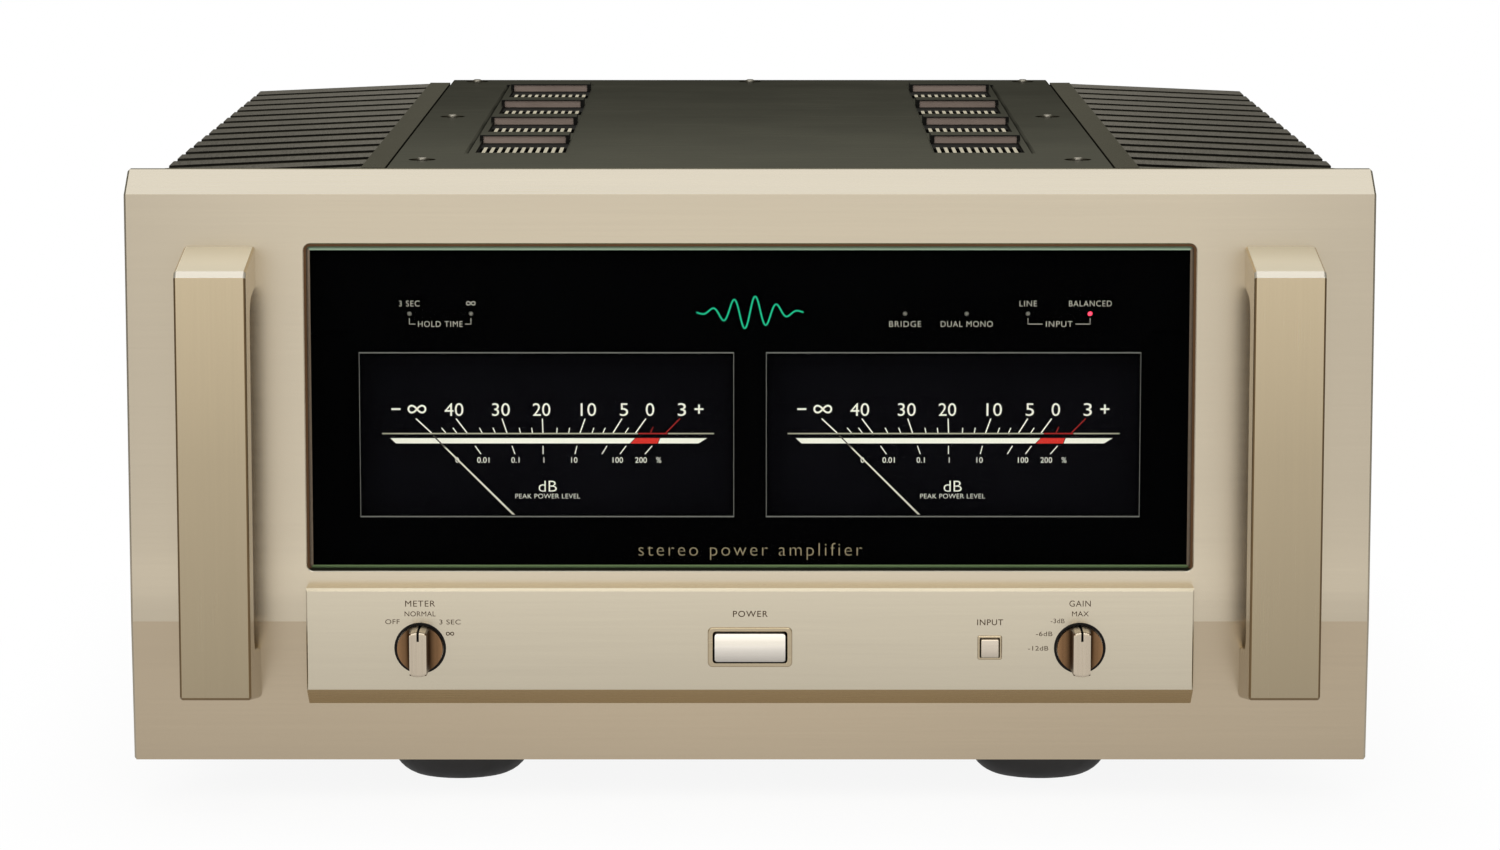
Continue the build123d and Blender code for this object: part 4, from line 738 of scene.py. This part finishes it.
class Print:
    """Flat shapes in X and Z, gathered into one mesh of thin prisms standing off a surface."""

    def __init__(self, surface_y, thick=0.05, rear=False):
        self.verts, self.faces = [], []
        self.surface_y = surface_y
        self.outer_y = surface_y + (thick if rear else -thick) * MM
        self.rear = rear

    def add_faces(self, faces):
        self.faces += [tuple(reversed(face)) for face in faces] if self.rear else faces

    def poly(self, points):
        """A filled outline of (x, z) points, in either order of turn."""
        n = len(points)
        area = sum(points[i][0] * points[(i + 1) % n][1] - points[(i + 1) % n][0] * points[i][1]
                   for i in range(n))
        if area < 0:
            points = points[::-1]
        base = len(self.verts)
        for y in (self.outer_y, self.surface_y):
            self.verts += [(x * MM, y, z * MM) for x, z in points]
        outer = tuple(range(base, base + n))
        inner = tuple(range(base + 2 * n - 1, base + n - 1, -1))
        sides = [(base + i, base + n + i, base + n + (i + 1) % n, base + (i + 1) % n)
                 for i in range(n)]
        self.add_faces([outer, inner] + sides)

    def rect(self, x, z, width, height):
        left, right, low, high = x - width / 2, x + width / 2, z - height / 2, z + height / 2
        self.poly([(left, low), (right, low), (right, high), (left, high)])

    def line(self, x0, z0, x1, z1, width):
        dx, dz = x1 - x0, z1 - z0
        length = math.hypot(dx, dz) or 1
        nx, nz = -dz / length * width / 2, dx / length * width / 2
        self.poly([(x0 + nx, z0 + nz), (x0 - nx, z0 - nz), (x1 - nx, z1 - nz), (x1 + nx, z1 + nz)])

    def ribbon(self, points, width, closed=False):
        """A strip of constant width along a polyline, as one joined mesh."""
        n = len(points)
        left, right = [], []
        for i, (x, z) in enumerate(points):
            before = points[(i - 1) % n] if (closed or i > 0) else points[i]
            after = points[(i + 1) % n] if (closed or i < n - 1) else points[i]
            dx, dz = after[0] - before[0], after[1] - before[1]
            length = math.hypot(dx, dz) or 1
            nx, nz = -dz / length * width / 2, dx / length * width / 2
            left.append((x + nx, z + nz))
            right.append((x - nx, z - nz))
        # first vertex of each run: outer or inner face, left or right side
        outer_l, outer_r, inner_l, inner_r = (len(self.verts) + k * n for k in range(4))
        for y in (self.outer_y, self.surface_y):
            for side in (left, right):
                self.verts += [(x * MM, y, z * MM) for x, z in side]
        faces = []
        for i in range(n if closed else n - 1):
            j = (i + 1) % n
            faces += [(outer_r + i, outer_r + j, outer_l + j, outer_l + i),
                      (inner_l + i, inner_l + j, inner_r + j, inner_r + i),
                      (outer_l + i, outer_l + j, inner_l + j, inner_l + i),
                      (outer_r + j, outer_r + i, inner_r + i, inner_r + j)]
        if not closed:
            end = n - 1
            faces += [(outer_l, inner_l, inner_r, outer_r),
                      (outer_r + end, inner_r + end, inner_l + end, outer_l + end)]
        self.add_faces(faces)

    def frame(self, x0, z0, x1, z1, width):
        self.ribbon([(x0, z0), (x1, z0), (x1, z1), (x0, z1)], width, closed=True)

    def infinity(self, x, z, width, stroke):
        points = []
        for i in range(48):
            a = 2 * math.pi * i / 48
            k = 1 + math.sin(a) ** 2
            points.append((x + width / 2 * math.cos(a) / k,
                           z + width / 2 * 1.15 * math.sin(a) * math.cos(a) / k))
        self.ribbon(points, stroke, closed=True)

    def done(self, name, material):
        mesh = bpy.data.meshes.new(name)
        mesh.from_pydata(self.verts, [], self.faces)
        mesh.update()
        add_print(name, mesh, material)


CAP_RATIO = 0.73  # height of a capital in the built-in font, per unit of size


def styled(entries, cap, spacing, bold=0.0):
    """Adds cap height, letter spacing and boldness to (text, x, z[, full width]) entries."""
    return [(text, x, z, width, cap, spacing, bold) for text, x, z, *width in entries]


def words(name, items, surface_y, material, rear=False, thick=0.05):
    """Styled texts as one joined mesh, each centred on its point."""
    turn = Matrix.Rotation(math.radians(90), 4, "X")
    if rear:
        turn = Matrix.Rotation(math.radians(180), 4, "Z") @ turn
    middle_y = surface_y + (thick if rear else -thick) * MM / 2
    joined = bmesh.new()
    for text, x, z, width, cap, spacing, bold in items:
        scale = cap * MM / CAP_RATIO
        curve = bpy.data.curves.new(name + "_c", "FONT")
        curve.body = text
        curve.size = 1.0
        curve.align_x = "CENTER"
        curve.space_character = spacing
        curve.resolution_u = 6
        curve.offset = bold * MM / scale
        curve.extrude = thick * MM / 2 / scale
        node = bpy.data.objects.new(name + "_o", curve)
        scene.collection.objects.link(node)
        place = Matrix.Translation((x * MM, middle_y, (z - cap / 2) * MM))
        node.matrix_world = place @ turn @ Matrix.Scale(scale, 4)
        bpy.context.view_layer.update()
        depsgraph = bpy.context.evaluated_depsgraph_get()
        mesh = bpy.data.meshes.new_from_object(node.evaluated_get(depsgraph))
        if width:
            xs = [v.co.x for v in mesh.vertices]
            stretch = width[0] * MM / scale / (max(xs) - min(xs))
            mesh.transform(Matrix.Diagonal((stretch, 1, 1, 1)))
        mesh.transform(node.matrix_world)
        bpy.data.objects.remove(node)
        bpy.data.curves.remove(curve)
        joined.from_mesh(mesh)
        bpy.data.meshes.remove(mesh)
    bmesh.ops.remove_doubles(joined, verts=joined.verts, dist=0.000002)
    bmesh.ops.dissolve_degenerate(joined, edges=joined.edges, dist=0.000002)
    mesh = bpy.data.meshes.new(name)
    joined.to_mesh(mesh)
    joined.free()
    add_print(name, mesh, material)


# ---------------------------------------------------------------- meter scales
METER_X = 76.4        # meter centres, either side of the middle
SCALE_PRINT = 0.06    # thickness of the print on the dials
BAR_Z = (136.15, 134.15)      # top and foot of the white bar
RED_BAR_Z = (136.2, 134.1)
ARC_Z = 137.9         # thin line above the bar
TICK_TOP, TICK_FOOT = 143.6, 138.15
MINOR_TOP = 140.1
MINOR_LEAN = 0.042    # lean of a minor tick per mm from the centre
LOW_TICK_TOP, LOW_TICK_FOOT = 133.2, 130.1
NUMBER_Z = 147.2
SIGN_LENGTH, SIGN_STROKE = 3.4, 0.7
PLUS_ARM = 1.4        # length of each upright arm of the plus sign
MASK_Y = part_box("display_mask")[0].y

# x of a bar's corners from the meter centre: top left, top right, foot right, foot left
WHITE_BARS = [(-59.1, 33.0, 31.1, -57.0), (42.6, 60.2, 57.0, 41.8)]
RED_BAR = (33.3, 42.3, 41.5, 31.4)
# x of each tick's top and foot from the meter centre
MAJOR_TICKS = [(-49.4, -43.6), (-34.3, -30.2), (-17.0, -15.15), (-1.8, -1.6), (14.3, 12.35),
               (28.2, 24.8), (37.2, 33.3)]
LOW_TICKS = [(-27.2, -25.0), (-13.3, -12.2), (-1.6, -1.6), (11.2, 10.4), (22.5, 20.6),
             (29.7, 27.4), (39.5, 36.8)]
MINOR_TICKS = [-38.2, -34.1, -24.5, -19.6, -10.1, -5.6, 3.6, 8.1, 16.9, 21.0, 29.4]
# red lines: x0, z0, x1, z1, width
RED_LINES = [(34.4, ARC_Z, 45.3, ARC_Z, 0.5), (50.0, 143.6, 44.75, 138.2, 0.4),
             (39.9, 140.4, 38.9, 138.2, 0.35)]
# upper numbers: text, x, full width
DECIBELS = [("40", -35.0, 7.1), ("30", -17.5, 6.7), ("20", -2.1, 6.6), ("10", 14.9, 5.8),
            ("5", 29.0, 3.1), ("0", 38.75, 3.2), ("3", 50.8, 3.1)]
# lower numbers: text, x
PERCENTS = [("0", -34.0), ("0.01", -23.9), ("0.1", -11.8), ("1", -1.3), ("10", 9.9),
            ("100", 26.3), ("200", 35.3), ("%", 42.0)]


def scale_bar(shapes, centre, corners, heights):
    top, foot = heights
    shapes.poly([(centre + x, z) for x, z in zip(corners, (top, top, foot, foot))])


def white_scale(tag, centre, dial_y):
    arc = Print(dial_y, SCALE_PRINT)
    for left, right in ((-62.2, 34.2), (45.5, 62.8)):
        arc.line(centre + left, ARC_Z, centre + right, ARC_Z, width=0.5)
    arc.done("scale_arc_" + tag, "ink_line")

    lines = Print(dial_y, SCALE_PRINT)
    for corners in WHITE_BARS:
        scale_bar(lines, centre, corners, BAR_Z)
    for top, foot in MAJOR_TICKS:
        lines.line(centre + top, TICK_TOP, centre + foot, TICK_FOOT, width=0.45)
    for x in MINOR_TICKS:
        lines.line(centre + x + x * MINOR_LEAN, MINOR_TOP, centre + x, TICK_FOOT, width=0.38)
    for top, foot in LOW_TICKS:
        lines.line(centre + top, LOW_TICK_TOP, centre + foot, LOW_TICK_FOOT, width=0.38)
    # minus before the infinity sign on the left, plus on the right
    lines.rect(centre - 56.9, NUMBER_Z, SIGN_LENGTH, SIGN_STROKE)
    plus_x = centre + 57.2
    arm_offset = (SIGN_STROKE + PLUS_ARM) / 2
    lines.rect(plus_x, NUMBER_Z, SIGN_LENGTH, SIGN_STROKE)
    lines.rect(plus_x, NUMBER_Z + arm_offset, SIGN_STROKE, PLUS_ARM)
    lines.rect(plus_x, NUMBER_Z - arm_offset, SIGN_STROKE, PLUS_ARM)
    lines.infinity(centre - 49.0, NUMBER_Z, width=6.4, stroke=0.7)
    lines.done("scale_lines_" + tag, "ink_white")


def red_scale(tag, centre, dial_y):
    bar = Print(dial_y, SCALE_PRINT)
    scale_bar(bar, centre, RED_BAR, RED_BAR_Z)
    bar.done("scale_red_" + tag, "ink_red")
    lines = Print(dial_y, SCALE_PRINT)
    for x0, z0, x1, z1, width in RED_LINES:
        lines.line(centre + x0, z0, centre + x1, z1, width)
    lines.done("scale_red_lines_" + tag, "ink_red_line")


def scale_numbers(tag, centre, dial_y):
    items = styled([(text, centre + x, NUMBER_Z, width) for text, x, width in DECIBELS],
                   cap=5.1, spacing=1.02)
    items += styled([(text, centre + x, 127.9) for text, x in PERCENTS], cap=2.2, spacing=1.02)
    items += styled([("dB", centre, 118.0, 6.8)], cap=4.5, spacing=1.02, bold=-0.05)
    items += styled([("PEAK POWER LEVEL", centre, 114.1, 24.4)], cap=1.9, spacing=1.04, bold=-0.03)
    words("scale_numbers_" + tag, items, dial_y, "ink_white")


def window_line(tag, side):
    """Thin line frame round the meter window on the mask."""
    left, right = sorted((side * 6.1, side * 146.1))
    outline = Print(MASK_Y, SCALE_PRINT)
    outline.frame(left, 108.0, right, 170.0, width=0.5)
    outline.done("window_line_" + tag, "ink_grey")


for side, tag in ((-1, "left"), (1, "right")):
    centre = side * METER_X
    dial_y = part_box("meter_dial_" + tag)[0].y
    white_scale(tag, centre, dial_y)
    red_scale(tag, centre, dial_y)
    scale_numbers(tag, centre, dial_y)
    window_line(tag, side)


# ---------------------------------------------------------------- legends behind the glass
UPPER_Z, LOWER_Z = 188.6, 180.9    # the two rows of words


def legend_brackets():
    """Square brackets on both sides of two lower words, and the infinity sign."""
    top, foot = 183.0, 180.8
    marks = Print(MASK_Y)
    # left x, right x, length of the foot
    for left, right, reach in ((-127.2, -104.2, 2.2), (103.8, 127.0, 5.4)):
        marks.ribbon([(left, top), (left, foot), (left + reach, foot)], width=0.24)
        marks.ribbon([(right, top), (right, foot), (right - reach, foot)], width=0.24)
    marks.infinity(-104.2, UPPER_Z, width=3.2, stroke=0.32)
    marks.done("legend_brackets", "ink_label")


def legend_words():
    # text, x, z, full width, letter spacing
    rows = [("3 SEC", -127.2, UPPER_Z, 7.7, 1.12), ("HOLD TIME", -115.7, LOWER_Z, 16.6, 1.14),
            ("BRIDGE", 57.9, LOWER_Z, 11.9, 1.14), ("DUAL MONO", 80.9, LOWER_Z, 19.4, 1.14),
            ("LINE", 103.8, UPPER_Z, 6.5, 1.12), ("BALANCED", 127.0, UPPER_Z, 15.9, 1.14),
            ("INPUT", 115.4, LOWER_Z, 9.9, 1.14)]
    items = []
    for *entry, spacing in rows:
        items += styled([entry], cap=2.3, spacing=spacing, bold=-0.03)
    words("legend_words", items, MASK_Y, "ink_label")
    items = styled([("stereo power amplifier", 0.0, 95.7, 84.0)], cap=5.3, spacing=1.25,
                   bold=-0.13)
    words("legend_descriptor", items, MASK_Y, "ink_gold")


def wave_mark():
    """A wave of five half-turns each way that dies out to both sides."""
    half_width, middle_z, height, steps = 20.0, 185.2, 6.2, 96
    points = []
    for i in range(steps + 1):
        u = -1 + 2 * i / steps
        fade = math.exp(-(u * 1.7) ** 2)
        points.append((u * half_width, middle_z + height * fade * math.sin(u * 5 * math.pi)))
    mark = Print(MASK_Y, thick=0.06)
    mark.ribbon(points, width=0.6)
    mark.done("wave_mark", "ink_green")


legend_brackets()
legend_words()
wave_mark()


# ---------------------------------------------------------------- control panel legends
def control_legends():
    thick = 0.03
    surface_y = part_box("control_panel")[0].y
    # text, x, z, cap height, letter spacing, boldness, full width
    rows = [("METER", -123.4, 77.3, 2.4, 1.1, 0.0, 11.2), ("NORMAL", -123.4, 73.4, 2.0, 1.05, 0.0, 11.6),
            ("OFF", -133.7, 70.4, 1.9, 1.05, 0.0, 5.4), ("3 SEC", -112.2, 70.3, 1.9, 1.05, 0.0, 8.0),
            ("POWER", 0.0, 73.4, 2.4, 1.15, 0.02, 13.0), ("INPUT", 89.7, 70.2, 2.3, 1.1, 0.02, 9.7),
            ("GAIN", 123.4, 77.3, 2.4, 1.1, 0.0, 8.0), ("MAX", 123.4, 73.4, 2.0, 1.05, 0.0, 6.3),
            ("-3dB", 115.0, 70.7, 1.8, 1.05, 0.0, 5.2), ("-6dB", 110.0, 65.8, 1.8, 1.05, 0.0, 6.2),
            ("-12dB", 107.8, 60.3, 1.8, 1.05, 0.0, 7.6)]
    items = []
    for text, x, z, cap, spacing, bold, width in rows:
        items += styled([(text, x, z, width)], cap, spacing, bold)
    words("control_words", items, surface_y, "ink_brown", thick=thick)
    mark = Print(surface_y, thick)
    mark.infinity(-112.2, 65.8, width=2.8, stroke=0.34)
    mark.done("control_hold_mark", "ink_brown")


control_legends()


# ---------------------------------------------------------------- rear legends
def rear_legends():
    """Boxes round the sockets, their numbers and words."""
    surface_y = depth_y(446.0)
    boxes = Print(surface_y, thick=0.04, rear=True)
    # x0, z0, x1, z1
    for box in [(-125, 82, -40, 120), (-125, 160, -40, 204), (40, 82, 125, 120),
                (40, 160, 125, 204), (-22, 172, 22, 193), (-32, 31, 32, 69)]:
        boxes.frame(*box, width=0.5)
    boxes.done("rear_boxes", "ink_rear")

    channel_x = 82.5
    items = styled([("1", channel_x, 123.5), ("2", -channel_x, 123.5),
                    ("1", channel_x, 207.5), ("2", -channel_x, 207.5)],
                   cap=3.6, spacing=1.0, bold=0.05)
    items += styled([("+", 105, 86.0), ("-", 60, 86.0), ("-", -60, 86.0), ("+", -105, 86.0)],
                    cap=2.6, spacing=1.0, bold=0.05)
    items += styled([("INPUT", channel_x, 155.5), ("INPUT", -channel_x, 155.5),
                     ("OUTPUT", channel_x, 77.0), ("OUTPUT", -channel_x, 77.0),
                     ("MODE", 0, 196.4)], cap=2.6, spacing=1.15, bold=0.02)
    items += styled([("AC IN", 0, 73.5)], cap=2.8, spacing=1.1, bold=0.02)
    words("rear_words", items, surface_y, "ink_rear", rear=True)


rear_legends()


# ---------------------------------------------------------------- floor (metres)
def floor_material():
    """To the camera: white, with a faint shadow close to the object.
    In reflections: bright in front, dark beside and behind."""
    pale = Material("floor_pale")
    patches = pale.noise(3, detail=4.0)
    grit = pale.noise(260)
    pale.set("Base Color", pale.mix(pale.spread(patches), (0.80, 0.80, 0.80, 1),
                                    (0.83, 0.83, 0.828, 1)))
    pale.set("Roughness", 0.8)
    pale.set("Specular IOR Level", 0.1)
    pale.bump(grit, strength=0.05, distance=0.0001)
    lit = pale.bsdf.outputs[0]

    # distance outside a rectangle under the object, from its half sizes
    place = pale.separate(pale.new("ShaderNodeNewGeometry").outputs["Position"])
    squares = []
    for socket, half in ((place[0], 0.19), (place[1], 0.23)):
        beyond = pale.math("SUBTRACT", pale.math("ABSOLUTE", socket), half)
        beyond = pale.math("MAXIMUM", beyond, 0.0)
        squares.append(pale.math("MULTIPLY", beyond, beyond))
    away = pale.math("SQRT", pale.math("ADD", *squares))
    white = pale.new("ShaderNodeEmission")
    white.inputs["Strength"].default_value = 1.0
    whiteness = pale.span(pale.ease(away, low=0.0, high=0.14), 0.91, 1.0)
    seen = pale.mix_shaders(whiteness, lit, white.outputs[0])

    # base level, a near rise in front of the object and a farther, smaller one
    ahead = pale.math("MULTIPLY", place[1], -1.0)
    far = pale.math("MULTIPLY", pale.ease(ahead, low=0.3, high=1.2), 0.22)
    rise = pale.math("MULTIPLY", pale.ease(ahead, low=0.02, high=0.32),
                     pale.math("ADD", 0.60, far))
    mirrored = pale.new("ShaderNodeEmission")
    pale.link(pale.math("ADD", 0.18, rise), mirrored.inputs["Strength"])

    path = pale.new("ShaderNodeLightPath").outputs
    unseen = pale.mix_shaders(path["Is Glossy Ray"], lit, mirrored.outputs[0])
    pale.link(pale.mix_shaders(path["Is Camera Ray"], unseen, seen), pale.surface)
    pale.data.cycles.emission_sampling = "NONE"
    return pale.data


def make_floor():
    material = floor_material()
    grid = bmesh.new()
    bmesh.ops.create_grid(grid, x_segments=8, y_segments=8, size=20.0)
    mesh = bpy.data.meshes.new("floor")
    grid.to_mesh(mesh)
    grid.free()
    floor = bpy.data.objects.new("floor", mesh)
    scene.collection.objects.link(floor)
    floor.location.z = -0.0002
    mesh.materials.append(material)


make_floor()


# ---------------------------------------------------------------- world, lights, camera (metres)
def make_world():
    """Bright in front and overhead, dark at the sides and behind, white to the camera."""
    world = bpy.data.worlds.new("studio")
    scene.world = world
    world.use_nodes = True
    tree = Tree(world.node_tree)
    background = tree.nodes["Background"]
    way = tree.separate(tree.new("ShaderNodeTexCoord").outputs["Generated"])
    front = tree.ease(tree.math("MULTIPLY", way[1], -1.0), low=0.1, high=0.9)
    above = tree.ease(way[2], low=0.25, high=0.85)
    lit = tree.math("ADD", tree.math("MULTIPLY", front, 0.75), tree.math("MULTIPLY", above, 0.50))
    sky = tree.mix(1.0, (0.178, 0.175, 0.134, 1), lit, "ADD")
    to_camera = tree.new("ShaderNodeLightPath").outputs["Is Camera Ray"]
    tree.link(tree.mix(to_camera, sky, (0.97, 0.97, 0.97, 1)), background.inputs[0])
    background.inputs[1].default_value = 1.0


def area_light(name, place, target, size, power, colour):
    light = bpy.data.lights.new(name, "AREA")
    light.shape = "RECTANGLE"
    light.size, light.size_y = size
    light.energy = power
    light.color = colour
    node = bpy.data.objects.new(name, light)
    scene.collection.objects.link(node)
    node.location = place
    node.rotation_euler = (Vector(target) - Vector(place)).to_track_quat("-Z", "Y").to_euler()


def make_camera():
    distance, height = 1.87653, 0.41298    # in front of the panel face, above the floor
    tilt_down = 0.142626                   # radians
    data = bpy.data.cameras.new("camera")
    camera = bpy.data.objects.new("camera", data)
    scene.collection.objects.link(camera)
    data.sensor_width = 36.0
    data.lens = 121.84968
    camera.location = (0.0, FACE_Y - distance, height)
    camera.rotation_euler = (math.radians(90) - tilt_down, 0, 0)
    data.clip_end = 100
    scene.camera = camera
    scene.view_settings.view_transform = "Standard"


make_world()
area_light("front_soft", place=(0.0, -1.2, 2.45), target=(0, -0.2, 0.15), size=(2.4, 0.8),
           power=12.0, colour=(1.0, 0.99, 0.97))
area_light("key_soft", place=(-1.7, -2.3, 1.7), target=(0, 0, 0.12), size=(1.5, 1.2),
           power=15.0, colour=(1.0, 0.985, 0.96))
area_light("top_soft", place=(0, 0.7, 2.45), target=(0, 0, 0.2), size=(2.8, 2.0),
           power=15.5, colour=(0.985, 0.99, 1.0))
make_camera()

bpy.context.view_layer.update()
